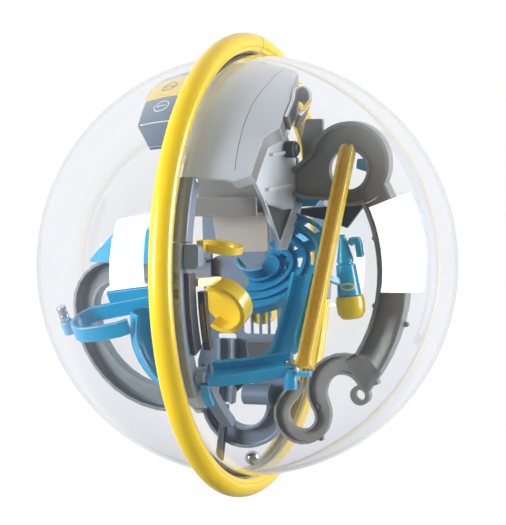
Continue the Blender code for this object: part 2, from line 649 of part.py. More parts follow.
def spiral_track():
    """The tiered blue spiral: stepped floors, a rib at each step, a fan at its upper end, and slots through it."""
    centre = flat(*SPIRAL, WEB_Y - 5.2)
    axis = Vector((0, -0.88, 0.47)).normalized()
    across = Vector((1, 0, 0))
    upward = axis.cross(across)

    def turned(profile, steps, start, end):
        return squeeze(revolve(profile, centre, axis, across, steps, start, end), centre, upward, 0.6, 0.78)

    tier, rise, rib, hub = 7.6, 4.2, 1.8, 8.8
    front = [(0.0, 0.0), (0.0, FLOOR), (hub, FLOOR), (hub, 5.0), (hub + WALL, 5.0), (hub + WALL, FLOOR + 0.3)]
    back = [(hub + WALL, 0.0)]
    for i in range(3):
        outer = hub + WALL + tier * (i + 1) - WALL
        floor = FLOOR + 0.3 + rise * i
        top = floor + rise + rib
        front += [(outer, floor), (outer, top), (outer + WALL, top), (outer + WALL, floor + rise)]
        back += [(outer + WALL, floor - FLOOR), (outer + WALL, floor + rise - FLOOR)]
    profile = front[:-1] + back[-2::-1]
    item = piece("spiral_track", turned(profile, 22, -112.0, 74.0), "blue_plastic")
    near = outer + WALL / 2
    far = near + tier
    level = floor + rise
    fan = [(near, level - FLOOR), (far, level - FLOOR), (far, level + rib), (far - WALL, level + rib), (far - WALL, level),
           (near, level)]
    join(item, turned(fan, 7, 14.0, 73.0))
    for i in range(4):
        inner = hub + WALL + tier * i + 1.4
        outer = inner + tier - WALL - 2.8
        slot = [(inner, -3.0), (outer, -3.0), (outer, 40.0), (inner, 40.0)]
        for start, end in ((-24.0, -17.0), (-5.0, 17.0), (34.0, 50.0))[2 * (i == 3):]:
            cut(item, turned(slot, 3, start, end))
    left = WALL_X * LAYOUT - FIT
    tip = at(0, -32.0, 10.3) - Vector((0, 0, 2 * FIT))
    corner = Vector((0, TRACK_BACK, 29.0 * LAYOUT - 2 * FIT))
    wall_space = [tip, corner, corner + Vector((0, 8, 0)), corner + Vector((0, 8, 40)), tip + Vector((0, -12, 40))]
    cut(item, slab([p + Vector((left, 0, 0)) for p in wall_space], Vector((PLATE + 3.0 + 2 * FIT, 0, 0))))
    half = ARM_WIDTH / 2 + FIT
    arm_space = [(-half, -FLOOR - FIT), (half, -FLOOR - FIT), (half, ARM_HEIGHT), (-half, ARM_HEIGHT)]
    arm = arm_path()[-3:]
    arm.append(arm[-1] + (arm[-1] - arm[-2]).normalized() * FIT)
    cut(item, sweep(arm, arm_space, ARM_TILT))
    cup = [(hub - FIT - 1.5, FLOOR + FIT), (hub - FIT, FLOOR + FIT), (hub - FIT, 13.0), (hub - FIT - 1.5, 13.0)]
    piece("spiral_cup", turned(cup, 12, -185.0, -45.0), "blue_plastic")


def arm_path():
    """The beam's arm: it starts beside the beam's end and rises behind the long rail."""
    end = at(*BEAM_PATH[-1])
    return [end + Vector((-5.6, -1.5, 0.0)), end + Vector((-2.8, 2.5, 8.0))] + [at(*spot) for spot in ARM_RISE]


def beam():
    """The blue V beam in front: a tilted trough, an arm that rises behind the long rail, and their pegs."""
    path = [at(*spot) for spot in BEAM_PATH]
    tilt = Vector((0, -0.62, 0.78))
    lower = piece("beam_lower", sweep(path, channel(BEAM_WIDTH, BEAM_HEIGHT), tilt), "blue_plastic")
    arm = arm_path()
    upper = piece("beam_upper", sweep(arm, channel(ARM_WIDTH, ARM_HEIGHT), ARM_TILT), "blue_plastic")
    envelope = [(-BEAM_WIDTH / 2 - FIT, -FLOOR - FIT), (BEAM_WIDTH / 2 + FIT, -FLOOR - FIT),
                (BEAM_WIDTH / 2 + FIT, BEAM_HEIGHT + FIT), (-BEAM_WIDTH / 2 - FIT, BEAM_HEIGHT + FIT)]
    longer = path[:-1] + [path[-1] + (path[-1] - path[-2]).normalized() * 10]
    cut(upper, sweep(longer, envelope, tilt))
    peg = path[-1] + Vector((0.2, -3.3, -10.0))
    piece("beam_peg", rod(peg, peg + Vector((0, 0, 9.0)), PEG_RADIUS), "blue_plastic")
    cap = peg + Vector((0, 0, 9.0 + FIT))
    piece("beam_peg_cap", rod(cap, cap + Vector((0, 0, 3.6)), PEG_RADIUS - 0.3), "steel")
    for item in (lower, upper):
        cut(item, rod(peg - Vector((0, 0, 5)), peg + Vector((0, 0, 25)), PEG_RADIUS + FIT))
    pin = rim_point(6.2 + FIT, GLOBE - 5.4, -27.0)
    piece("beam_pin", rod(pin, Vector((path[0].x - FIT, pin.y, pin.z)), PIN_RADIUS), "light_grey_plastic")
    tail = [at(9.0, -77.8, -44.6), at(9.0, -75.6, -50.0), at(9.6, -73.0, -54.5)]
    piece("beam_bracket", sweep(tail, [(-2.0, -1.0), (2.0, -1.0), (2.0, 1.0), (-2.0, 1.0)], Vector((0, -0.8, -0.6))),
          "blue_plastic")


def long_rail():
    """The yellow rail from the dish down to the beam, and the shoe under its foot."""
    top = flat(57.0, 56.0, TRACK_Y - LANE_RIM)
    foot = at(*BEAM_PATH[-1]) + Vector((7.2, -3.5, -0.4))
    way = (foot - top).normalized()
    length = (foot - top).length
    stations = [(0.0, 0.55), (0.8, 0.8), (2.0, 0.95), (3.4, 1.0), (length - 5.0, 1.0), (length - 1.6, 1.12), (length, 1.3)]
    path = [top + way * reach for reach, share in stations]
    sections = [channel(RAIL_WIDTH * share, RAIL_HEIGHT * min(share, 1.0), 1.3) for reach, share in stations]
    piece("long_rail", sweep(path, sections, FRONT), "yellow_plastic")
    under = foot - Vector((0, 0, FIT + 1.2))
    shoe = [under + Vector((x, y, 0)) for x, y in rounded([(-3.2, -2.6), (3.0, -2.6), (3.0, 1.2), (-3.2, 1.2)], 0.9)]
    piece("rail_shoe", slab(shoe, Vector((0, 0, -2.0))), "blue_plastic")


def scoop():
    """The yellow catch cup, open at its lower left, on an arm from the frame."""
    centre = at(16.2, -64.0, -9.5)
    axis = Vector((-0.15, -0.90, -0.41)).normalized()
    zero = axis.cross(Vector((1, 0, 0))).normalized()
    radius, depth, rim = 11.6, 8.0, 2.0
    profile = [(0.0, 0.0), (radius, 0.0), (radius, depth), (radius - rim, depth), (radius - rim, FLOOR), (0.0, FLOOR)]
    item = piece("scoop", revolve(profile, centre, axis, zero, 32), "yellow_plastic")
    inner = radius - rim - 1.0
    opening = [(inner, FLOOR + 0.05), (radius + 2, FLOOR + 0.05), (radius + 2, depth + 2), (inner, depth + 2)]
    cut(item, revolve(opening, centre, axis, zero, 9, 46.0, 140.0))
    shoulder = centre + Vector((-3.2, -5.2, 9.6))
    hand = Vector((7.6, -(FRAME_INNER - 4.0 - FIT - 0.7), 0.6))
    join(item, sweep([shoulder, hand], [(-2.2, -1.8), (2.2, -1.8), (2.2, 1.8), (-2.2, 1.8)], Vector((0, 0, 1))))


def hoop():
    """The yellow hoop on a stem from the frame tab."""
    centre = at(16.5, -72.0, 15.0)
    profile = [(7.8, -1.6), (9.4, -1.6), (9.4, 1.6), (7.8, 1.6)]
    item = piece("hoop", revolve(profile, centre, (0.166, -0.027, 0.985), (0.986, 0, -0.166), 28), "yellow_plastic")
    tab_face = -(FRAME_INNER - 1.0) * cos(radians(7.4)) + 1.2
    level = centre.z + 0.6
    start = Vector((centre.x - 5.0, centre.y - 6.8, level))
    end = Vector((centre.x - 5.0, tab_face, level))
    join(item, sweep([start, end], [(-1.6, -1.6), (1.6, -1.6), (1.6, 3.4), (-1.6, 3.4)], Vector((0, 0, 1))))


def dropper():
    """The leaning blue tube with a cone top and a yellow cup, its bar to the beam's arm, and the hook beside it."""
    base = at(57.9, -26.2, 0.0)
    lean = Vector((-0.093, -0.036, 1.0)).normalized()
    across = Vector((1.0, 0.0, 0.093)).normalized()
    tube = [(0.0, 17.0), (1.2, 17.0), (3.9, 5.2), (3.9, 4.6), (3.4, 4.4), (3.4, 3.8), (4.4, 3.4), (5.4, -10.2), (0.0, -10.2)]
    cup = [(0.0, -10.2 - FIT), (6.0, -10.2 - FIT), (6.6, -12.6), (6.3, -18.2), (4.6, -20.8), (0.0, -21.4)]
    item = piece("dropper_tube", revolve(tube, base, lean, across, 18), "blue_plastic")
    piece("dropper_cup", revolve(cup, base, lean, across, 18), "yellow_plastic")
    before, end = arm_path()[-2:]
    rising = (end - before).normalized()
    beside = rising.cross(ARM_TILT).normalized()
    seat = end + beside * (ARM_WIDTH / 2 - WALL / 2) + rising * (1.5 + FIT)
    reach = (1.5 + FIT - (base - end).dot(rising)) / lean.dot(rising)
    start = base + lean * reach
    square = [(-1.5, -1.5), (1.5, -1.5), (1.5, 1.5), (-1.5, 1.5)]
    join(item, sweep([start, seat + (seat - start).normalized() * 1.5], square, rising))
    hook = [base + across * a + lean * h for a, h in ((3.1, 12.4), (4.4, 14.0), (6.6, 13.9), (7.2, 12.4), (7.4, 6.4))]
    bar = [(-1.5, -1.5), (1.5, -1.5), (1.5, 1.5), (-1.5, 1.5)]
    piece("dropper_hook", sweep(hook, bar, FRONT), "blue_plastic")


def left_pieces():
    """The blue pieces of the left half, and the strip above them."""
    rim = TRACK_Y - LOOP_RIM
    centre = flat(-59.6, -27.6, rim - 14.5)
    along = Vector((0.99, 0.0, 0.13)).normalized()
    across = Vector((0.0, -0.9, -0.42)).normalized()
    up = across.cross(along)
    straight, bend, height = 3.4, 9.8, 7.6
    turns = [radians(90.0 + 22.5 * i) for i in range(9)]
    spots = [(17.0, 6.2), (12.0, 8.6), (4.0, bend)]
    spots += [(bend * cos(turn) - straight, bend * sin(turn)) for turn in turns]
    spots += [(8.0, -11.4), (19.0, -13.0)]
    spots += [(19.0 + 4.5 * cos(turn), -17.5 + 4.5 * sin(turn)) for turn in (0.9, 0.0, -0.9)]
    spots += [(19.0, -22.0), (8.0, -22.4), (-5.0, -22.0)]
    half = PLATE / 2
    blade = [(-half, 0.0), (half, 0.0), (half, height), (-half, height)]
    piece("left_fork", sweep([centre + along * a + across * c for a, c in spots], blade, up), "blue_plastic")

    tail = (LEFT_SWEEP[1] - LEFT_SWEEP[2]) * LAYOUT + LOOP_WIDTH / 2
    head = centre + Vector((22.9, 1.5, 8.8))
    foot = Vector((-26.2 * LAYOUT, rim - 4.6, tail + 6.0))
    path = smooth([head, head + Vector((-1.0, 2.5, -14.0)), foot + Vector((-7.2, -2.5, 6.6)), foot])
    count = len(path) - 1
    ups = [Vector((0.95, -0.3, 0.15)).lerp(Vector((0.3, -0.5, 0.8)), i / count) for i in range(count + 1)]
    half_pipe = [(CHUTE_RADIUS * cos(pi * i / 8 + pi), CHUTE_RADIUS * sin(pi * i / 8 + pi)) for i in range(9)]
    inner = CHUTE_RADIUS - PLATE
    half_pipe += [(inner * cos(pi * i / 8 + pi), inner * sin(pi * i / 8 + pi)) for i in range(8, -1, -1)]
    piece("left_chute", sweep(path, half_pipe, ups), "blue_plastic")

    front = TRACK_Y - LOOP_RIM - FIT - PLATE
    piece("left_ramp", plate([(-73.0, 2.6), (-55.0, 20.5), (-38.0, 17.5), (-38.0, 2.0), (-60.0, 2.0)], front, PLATE, 1.0), "blue_plastic")
    piece("left_strip", plate([(-55.6, 20.8 + FIT), (-55.0, 23.0), (-36.0, 28.0), (-35.0, 17.4 + FIT), (-38.0, 17.6 + FIT)],
                              front, PLATE, 0.4), "light_grey_plastic")
    base = centre - along * (straight + bend + half + PEG_RADIUS + FIT) + up * 0.4
    piece("left_peg", rod(base, base + up * 6.6, PEG_RADIUS), "blue_plastic")
    seat = base + up * (6.6 + FIT)
    for name in ("left_cap_lower", "left_cap_upper"):
        piece(name, rod(seat, seat + up * 3.6, PEG_RADIUS - 0.5, 6), "steel")
        seat = seat + up * (3.6 + FIT)


def rear_pieces():
    """What stands on the back of the web: a folded track, a yellow cup and a ramp to the far strip."""
    floor_y = WEB_BACK + FIT + FLOOR
    turns = [flat(-12.0, 18.5, floor_y), flat(8.0, 18.5, floor_y)]
    turns += arc(8.0, 10.0, 8.5, 90, -90, floor_y, 18)[1:]
    turns += arc(-6.0, -7.0, 8.5, 90, 270, floor_y, 18)
    turns.append(flat(2.0, -15.5, floor_y))
    piece("rear_track", sweep(turns, channel(9.6, LANE_RIM), REAR), "warm_grey_plastic")
    cup = [(0.0, 0.0), (5.6, 0.0), (5.6, 9.0), (4.4, 9.0), (4.4, FLOOR), (0.0, FLOOR)]
    cup_centre = flat(9.0, -21.4, WEB_BACK + FIT)
    piece("rear_cup", revolve(cup, cup_centre, REAR, (1, 0, 0), 20), "yellow_plastic")
    far = FRAME_INNER - FIT - 1.0
    ramp = [Vector((8.0 * LAYOUT, floor_y + LANE_RIM + FIT, 13.0 * LAYOUT)), at(8.0, 40.0, 9.0), Vector((5.3, far, 0.0))]
    piece("rear_ramp", sweep(ramp, channel(9.0, 5.0), Vector((0, 0, 1))), "blue_plastic")


def steel_ball():
    """The ball, resting at the bottom of the globe. Its pivot is the centre that it rolls around."""
    pivot = bpy.data.objects.new("ball_pivot", None)
    pivot.parent = bpy.data.objects["globe_centre"]
    bpy.context.collection.objects.link(pivot)
    radius = BALL_DIAMETER / 2
    drop = GLOBE - radius - BALL_CLEARANCE
    profile = [(radius * sin(pi * i / 10), radius * cos(pi * i / 10)) for i in range(11)]
    piece("steel_ball", revolve(profile, Vector((0, 0, -drop)), (0, 0, 1), (1, 0, 0), 18), "steel", pivot)


def main():
    for item in list(bpy.data.objects):
        bpy.data.objects.remove(item)
    bpy.context.collection.objects.link(bpy.data.objects.new("globe_centre", None))
    hemisphere("hemisphere_right", 1)
    hemisphere("hemisphere_left", -1)
    clamp_ring()
    equator_frame()
    start_cover()
    number_plates()
    start_chamber()
    start_loop()
    dish_track()
    right_lane()
    hook_track()
    left_loop()
    bottom_loop()
    center_web()
    web_details()
    spiral_track()
    beam()
    long_rail()
    scoop()
    hoop()
    dropper()
    left_pieces()
    rear_pieces()
    steel_ball()


main()
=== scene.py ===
"""Looks for a clear maze globe: turned clear shells, a yellow clamp ring, moulded tracks and a steel ball.

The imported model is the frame. Every piece here stands for one of its nodes, or is a mark that sits on one.
"""
from math import cos, pi, radians, sin, sqrt

import bmesh
import bpy
from bpy.props import FloatProperty, FloatVectorProperty, IntProperty, PointerProperty
from mathutils import Matrix, Vector
from mathutils.bvhtree import BVHTree
from mathutils.geometry import interpolate_bezier


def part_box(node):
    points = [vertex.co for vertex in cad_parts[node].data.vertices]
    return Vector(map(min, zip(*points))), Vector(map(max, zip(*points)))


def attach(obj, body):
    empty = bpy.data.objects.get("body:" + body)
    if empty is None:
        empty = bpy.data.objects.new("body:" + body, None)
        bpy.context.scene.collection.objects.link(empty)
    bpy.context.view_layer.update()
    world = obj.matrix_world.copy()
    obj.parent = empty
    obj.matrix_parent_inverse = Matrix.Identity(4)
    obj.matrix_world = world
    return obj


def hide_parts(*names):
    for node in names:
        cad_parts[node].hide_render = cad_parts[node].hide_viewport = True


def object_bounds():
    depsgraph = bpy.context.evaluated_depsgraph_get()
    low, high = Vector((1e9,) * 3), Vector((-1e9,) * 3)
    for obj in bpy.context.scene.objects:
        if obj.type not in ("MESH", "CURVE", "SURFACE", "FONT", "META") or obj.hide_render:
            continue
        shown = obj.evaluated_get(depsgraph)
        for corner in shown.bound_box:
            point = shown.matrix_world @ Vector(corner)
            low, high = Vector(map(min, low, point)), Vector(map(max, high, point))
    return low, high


bl_info = {
    "name": "Clear Maze Globe",
    "version": (1, 0, 0),
    "blender": (4, 5, 0),
    "location": "3D View > Sidebar > Maze Globe",
    "description": "Finishes the packed maze globe: shells, ring, moulded tracks, ball, lamps and camera",
    "category": "Object",
}

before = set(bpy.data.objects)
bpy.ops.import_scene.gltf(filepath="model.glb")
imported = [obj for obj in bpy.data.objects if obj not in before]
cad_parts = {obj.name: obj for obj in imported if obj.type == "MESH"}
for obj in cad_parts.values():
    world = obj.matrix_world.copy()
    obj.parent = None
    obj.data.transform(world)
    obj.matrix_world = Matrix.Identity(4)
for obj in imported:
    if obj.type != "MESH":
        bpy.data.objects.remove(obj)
CAD_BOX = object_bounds()
MM = 0.001
BODY = "globe"

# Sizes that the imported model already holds
SHELL_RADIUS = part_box("hemisphere_right")[1].x
RING_LOW, RING_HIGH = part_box("clamp_ring")
RING_RADIUS = min(RING_HIGH.y, RING_HIGH.z, -RING_LOW.y, -RING_LOW.z)
RING_HALF = RING_HIGH.x
BALL_LOW, BALL_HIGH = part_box("steel_ball")

# The photograph's camera: its right, up and back directions, its distance in metres and its lens
VIEW_RIGHT = Vector((0.9310, 0.3642, -0.0243))
VIEW_UP = Vector((-0.0124, 0.0981, 0.9951))
VIEW_BACK = Vector((0.3648, -0.9261, 0.0958))
VIEW_DISTANCE = 1.274
SENSOR_WIDTH = 36.0
LENS = 187.5
# How far the globe's centre stands off the middle of the picture, in pixels
PICTURE_HEIGHT = 525
CENTRE_OFFSET = (5.5, 2.5)

# Mesh work: gaps that close, angles that count as flat or as an edge, and how edges are rounded
MERGE_GAP = 0.002 * MM
TURNED_GAP = 0.001 * MM
FLAT_ANGLE = radians(1.0)
EDGE_ANGLE = radians(32)
EDGE_STEPS = 2
FLAT_WEIGHT = 60
# A wall's corner is found by its foot within this reach, and a skirt by how squarely it faces +X
FOOT_REACH = 0.2 * MM
SKIRT_FACING = 0.8
# Marks: sides of a line and of a rib, how deep a line sits, and steps along its strokes
LINE_SIDES = 8
RIB_SIDES = 12
LINE_SINK = 0.3
RING_STEPS = 48
STROKE_STEPS = 4
SEAM_STEPS = 8

# Roughness of each moulded finish, and of the edges, whose colour is painted paler towards a grey as a
# highlight
ROUGHNESS = {"yellow": 0.24, "blue": 0.26, "deep_blue": 0.26, "cool_grey": 0.36, "light_grey": 0.36,
             "sand_grey": 0.38, "mid_grey": 0.36, "warm_grey": 0.38, "blue_grey": 0.36, "slate": 0.34,
             "charcoal": 0.36}
EDGE_HIGHLIGHT_ROUGHNESS = 0.22
EDGE_HIGHLIGHT_GREY = 0.72
EDGE_HIGHLIGHT_SHARE = 0.26


def linear(code):
    """An sRGB hex colour as linear red, green and blue."""
    parts = [int(code[i:i + 2], 16) / 255 for i in (1, 3, 5)]
    return tuple(c / 12.92 if c <= 0.04045 else ((c + 0.055) / 1.055) ** 2.4 for c in parts)


def size(label, text, millimetres):
    """A length property, given in millimetres."""
    return FloatProperty(name=label, description=text, default=millimetres * MM, min=0.0, unit="LENGTH",
                         precision=4)


def count(label, text, number):
    """A whole-number property."""
    return IntProperty(name=label, description=text, default=number, min=3)


def level(label, text, value):
    """A property for a level of light."""
    return FloatProperty(name=label, description=text, default=value, min=0.0)


def colour(label, text, code):
    """A colour property, given as an sRGB hex value."""
    return FloatVectorProperty(name=label, description=text, default=linear(code), subtype="COLOR",
                               min=0.0, max=1.0)


class GlobeSizes(bpy.types.PropertyGroup):
    shell_wall: size("Shell wall", "Thickness of the clear shells", 2.0)
    shell_steps: count("Shell steps", "Facets from a shell's rim to its pole", 48)
    shell_turns: count("Shell turns", "Facets around a shell", 160)
    flange_reach: size("Flange reach", "How far a shell's flange stands out of it", 5.0)
    flange_thick: size("Flange thickness", "Thickness of a shell's flange", 1.6)
    equator_gap: size("Equator gap", "Clearance between the two shells", 0.3)
    ring_bead: size("Ring bead", "Radial height of the ring's round bead", 4.6)
    ring_slit: size("Ring slit", "Width of the slit where the ring closes", 0.9)
    ring_turns: count("Ring turns", "Facets around the ring", 280)
    soft_edge: size("Soft edge", "Edge rounding of the larger mouldings", 0.38)
    fine_edge: size("Fine edge", "Edge rounding of the thin mouldings", 0.22)
    strip_thick: size("Strip thickness", "Thickness of the bent strip beside the cover", 1.6)
    strip_deep: size("Strip depth", "How far the bent strip reaches in from the dome", 7.0)
    wall_rib: size("Wall rib", "Diameter of the round ribs on the start wall", 1.3)
    wall_pocket: size("Wall pocket", "Depth of the pocket in the start wall", 1.1)
    web_rib: size("Web rib", "Diameter of the round ribs on the centre web", 1.5)
    tube_rim: size("Tube rim", "Width of the oval rim on the dropper tube", 1.0)
    print_line: size("Print line", "Width of a printed line", 0.75)
    print_ring: size("Print ring", "Diameter of the ring around a printed number", 7.4)
    seam_line: size("Seam line", "Width of the cover's seam", 0.36)


class GlobeColours(bpy.types.PropertyGroup):
    clear: colour("Clear shell", "Clear polystyrene of the shells", "#FDFDFE")
    clear_edge: colour("Clear edge", "The shells where they are seen along the wall", "#E8ECF5")
    yellow: colour("Yellow", "Yellow of the ring, rail and cups", "#F4CF2C")
    blue: colour("Blue", "Blue of the beam, forks and dropper", "#20A7D8")
    # Painted shade: a darker copy of the blue, for the spiral that lies deep inside
    deep_blue: colour("Deep blue", "Blue of the spiral", "#1C8CBA")
    light_grey: colour("Light grey", "Grey of the cover and the start wall", "#D8DFE5")
    # Painted shade: a darker, warmer copy of the light grey, for the panel under the tray
    sand_grey: colour("Sand grey", "Grey of the panel under the tray", "#A19E96")
    mid_grey: colour("Mid grey", "Grey of the dish, the right lane and the hook", "#83827F")
    cool_grey: colour("Cool grey", "Grey of the loop on the left", "#78828A")
    # Painted shade: a darker copy of the light grey, for the cover's skirt, the bent strip, the tray and the
    # wall's pocket
    warm_grey: colour("Warm grey", "Grey of the tray, the bent strip and the cover's skirt", "#6C6B69")
    blue_grey: colour("Blue grey", "Grey of the frame strips", "#8191A3")
    slate: colour("Slate", "Dark grey of the web and the plates", "#66788C")
    # Near black of the guides and the knob, and painted shade on the frame rail and the shade panel, where
    # there is only shadow
    charcoal: colour("Charcoal", "Near black of the guides", "#3D444C")
    steel: colour("Steel", "Polished steel of the ball and caps", "#D9DCDF")
    # White of the printed number, and painted highlight along the first plate's fold
    white_ink: colour("White ink", "Printed lines on the slate plate", "#E9EEF2")
    dark_ink: colour("Dark ink", "Printed lines on the yellow plate", "#4A4632")
    seam_ink: colour("Seam", "Shadow in the cover's scored seam", "#4C5054")


class GlobeStage(bpy.types.PropertyGroup):
    box_distance: FloatProperty(
        name="Box distance", default=1.0, min=0.5, max=3.0,
        description="How far the soft boxes stand off, as a share of their measured places")
    right_light: level("Right box", "Light of the right soft box on the mouldings", 8.5)
    left_light: level("Left box", "Light of the left soft box on the mouldings", 19.0)
    top_light: level("Top box", "Light of the overhead soft box", 0.3)
    shine: level("Box shine", "Brightness of both boxes as gloss shows them", 19.0)
    fill: level("Fill", "Even light from all around", 0.42)
    room: level("Room", "Brightness of the room in front, as gloss shows it", 0.18)
    floor_colour: colour("Floor", "Pale studio floor", "#C4C7CA")


def add(tree, kind, inputs=(), **settings):
    """Add one node with its settings, values and links."""
    item = tree.nodes.new(kind)
    for name, value in settings.items():
        setattr(item, name, value)
    for key, value in dict(inputs).items():
        if isinstance(value, bpy.types.NodeSocket):
            tree.links.new(value, item.inputs[key])
        else:
            item.inputs[key].default_value = value
    return item


def reckon(tree, operation, first, second):
    """One step of arithmetic between two values or sockets."""
    return add(tree, "ShaderNodeMath", {0: first, 1: second}, operation=operation).outputs[0]


def noise(tree, place, millimetres, detail):
    """A soft noise with spots of about this size."""
    return add(tree, "ShaderNodeTexNoise", {"Vector": place, "Scale": 1 / (millimetres * MM),
                                            "Detail": detail}).outputs[0]


def blend(tree, share, first, second):
    """A colour between two colours."""
    return add(tree, "ShaderNodeMix", {0: share, 6: first, 7: second}, data_type="RGBA").outputs[2]


def opaque(tint, share=1.0):
    """A colour, made darker or paler by a share, with full alpha."""
    return (*[min(1.0, c * share) for c in tint], 1.0)


def new_material(title):
    material = bpy.data.materials.new(title)
    material.use_nodes = True
    material.node_tree.nodes.clear()
    return material, material.node_tree


def moulded_plastic(title, tint, rough):
    """Injection-moulded ABS, opaque. The resin's flow clouds its colour a little over some 16 mm, the cooling
    skin has a faint orange peel of about 3 mm, and the tool's spark grain breaks up the gloss. The real
    grain is near 0.1 mm, so it is drawn coarser to show."""
    material, tree = new_material(title)
    place = add(tree, "ShaderNodeTexCoord").outputs["Object"]
    flow = noise(tree, place, 16.0, 3.0)
    shade = blend(tree, flow, opaque(tint, 0.90), opaque(tint, 1.08))
    skin_peel = noise(tree, place, 3.2, 1.0)
    spark = noise(tree, place, 0.9, 2.0)
    gloss = add(tree, "ShaderNodeMapRange", {"Value": spark, "From Min": 0.3, "From Max": 0.7,
                                             "To Min": rough - 0.012, "To Max": rough + 0.016})
    wave = add(tree, "ShaderNodeBump", {"Height": skin_peel, "Strength": 0.12, "Distance": 0.05 * MM})
    shader = add(tree, "ShaderNodeBsdfPrincipled", {
        "Base Color": shade, "Roughness": gloss.outputs[0], "Normal": wave.outputs[0], "IOR": 1.53})
    add(tree, "ShaderNodeOutputMaterial", {"Surface": shader.outputs[0]})
    return material


def clear_polystyrene(title, tint, edge_tint):
    """Clear moulded polystyrene: see-through and polished, with the slow ripple of a blown tool some 30 mm
    long. Lamp light, soft bounced light and what a piece inside reflects pass straight on, as they nearly do
    through a thin wall."""
    material, tree = new_material(title)
    place = add(tree, "ShaderNodeTexCoord").outputs["Object"]
    ripple = noise(tree, place, 30, 0.0)
    wave = add(tree, "ShaderNodeBump", {"Height": ripple, "Strength": 0.015, "Distance": 0.2 * MM})
    rim = add(tree, "ShaderNodeLayerWeight", {"Blend": 0.28}).outputs["Facing"]
    shader = add(tree, "ShaderNodeBsdfPrincipled", {
        "Base Color": blend(tree, rim, opaque(tint), opaque(edge_tint)), "Transmission Weight": 1.0,
        "Roughness": 0.0, "IOR": 1.55, "Normal": wave.outputs[0]})
    through = add(tree, "ShaderNodeBsdfTransparent", {"Color": (0.97, 0.975, 0.98, 1.0)})
    path = add(tree, "ShaderNodeLightPath").outputs
    bounced = reckon(tree, "GREATER_THAN", path["Glossy Depth"], 0.5)
    # An odd number of crossings means the ray is inside a wall, where it must bend as usual
    walls = reckon(tree, "MODULO", path["Transmission Depth"], 2.0)
    in_air = reckon(tree, "LESS_THAN", walls, 0.5)
    inner = reckon(tree, "MULTIPLY", bounced, in_air)
    soft = reckon(tree, "MAXIMUM", path["Is Shadow Ray"], path["Is Diffuse Ray"])
    onward = reckon(tree, "MAXIMUM", soft, inner)
    both = add(tree, "ShaderNodeMixShader", {0: onward, 1: shader.outputs[0], 2: through.outputs[0]})
    add(tree, "ShaderNodeOutputMaterial", {"Surface": both.outputs[0]})
    return material


def polished_steel(title, tint):
    """Polished bearing steel: a mirror with faint lapping haze and hairlines some 0.6 mm apart."""
    material, tree = new_material(title)
    place = add(tree, "ShaderNodeTexCoord").outputs["Object"]
    stretch = add(tree, "ShaderNodeMapping", {"Vector": place, "Scale": (1.0, 6.0, 1.0)})
    hairlines = noise(tree, stretch.outputs[0], 0.6, 2.0)
    haze = add(tree, "ShaderNodeMapRange", {"Value": hairlines, "From Min": 0.35, "From Max": 0.7,
                                            "To Min": 0.05, "To Max": 0.16})
    shader = add(tree, "ShaderNodeBsdfPrincipled", {"Base Color": opaque(tint), "Metallic": 1.0,
                                                    "Roughness": haze.outputs[0]})
    add(tree, "ShaderNodeOutputMaterial", {"Surface": shader.outputs[0]})
    return material


def printing_ink(title, tint):
    """Pad-printed ink: matt and thin, with small pores where the pad lifted it, some 0.4 mm apart. The
    cover's seam takes it too, as a line of painted shadow, and the fold on the first plate as a painted
    highlight.
    """
    material, tree = new_material(title)
    place = add(tree, "ShaderNodeTexCoord").outputs["Object"]
    shade = blend(tree, noise(tree, place, 0.4, 1.0), opaque(tint, 0.8), opaque(tint))
    shader = add(tree, "ShaderNodeBsdfPrincipled", {"Base Color": shade, "Roughness": 0.6})
    add(tree, "ShaderNodeOutputMaterial", {"Surface": shader.outputs[0]})
    return material


def ready(make, title, *values):
    """The material of a title, made on first use."""
    return bpy.data.materials.get(title) or make(title, *values)


def finish(name):
    """The material of a named finish, in the colours of the panel."""
    hues = bpy.context.scene.globe_colours
    title = name.replace("_", " ").capitalize()
    if name == "clear":
        return ready(clear_polystyrene, "Clear polystyrene", hues.clear, hues.clear_edge)
    if name == "steel":
        return ready(polished_steel, "Polished steel", hues.steel)
    if name.endswith("_ink"):
        return ready(printing_ink, title, getattr(hues, name))
    return ready(moulded_plastic, title + " ABS", getattr(hues, name), ROUGHNESS[name])


def highlit(name):
    """The finish of a moulding's edges: a painted highlight, paler towards a grey where the edges catch the
    light, and a little smoother.
    """
    hue = getattr(bpy.context.scene.globe_colours, name)
    paler = [c + (EDGE_HIGHLIGHT_GREY - c) * EDGE_HIGHLIGHT_SHARE if c < EDGE_HIGHLIGHT_GREY else c for c in hue]
    title = name.replace("_", " ").capitalize() + " ABS, rubbed edge"
    return ready(moulded_plastic, title, paler, EDGE_HIGHLIGHT_ROUGHNESS)


def linked(name, data):
    """A new object in the scene."""
    item = bpy.data.objects.new(name, data)
    bpy.context.scene.collection.objects.link(item)
    return item


def place_piece(name, mesh, *nodes, body=BODY):
    """Link a finished mesh as a piece that rides on a body and stands for its nodes."""
    piece = linked(name, mesh)
    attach(piece, body)
    if nodes:
        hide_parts(*nodes)
    return piece


def baked(item):
    """The evaluated mesh of an object, which is then removed."""
    graph = bpy.context.evaluated_depsgraph_get()
    mesh = bpy.data.meshes.new_from_object(item.evaluated_get(graph), depsgraph=graph)
    bpy.data.objects.remove(item)
    return mesh


def mesh_of(shape, name, *materials):
    """A mesh from a bmesh, which is then freed."""
    mesh = bpy.data.meshes.new(name)
    shape.to_mesh(mesh)
    shape.free()
    for material in materials:
        mesh.materials.append(material)
    return mesh


def smooth(mesh, degrees):
    """Shade a mesh smooth, apart from edges sharper than an angle."""
    mesh.shade_smooth()
    mesh.set_sharp_from_angle(angle=radians(degrees))


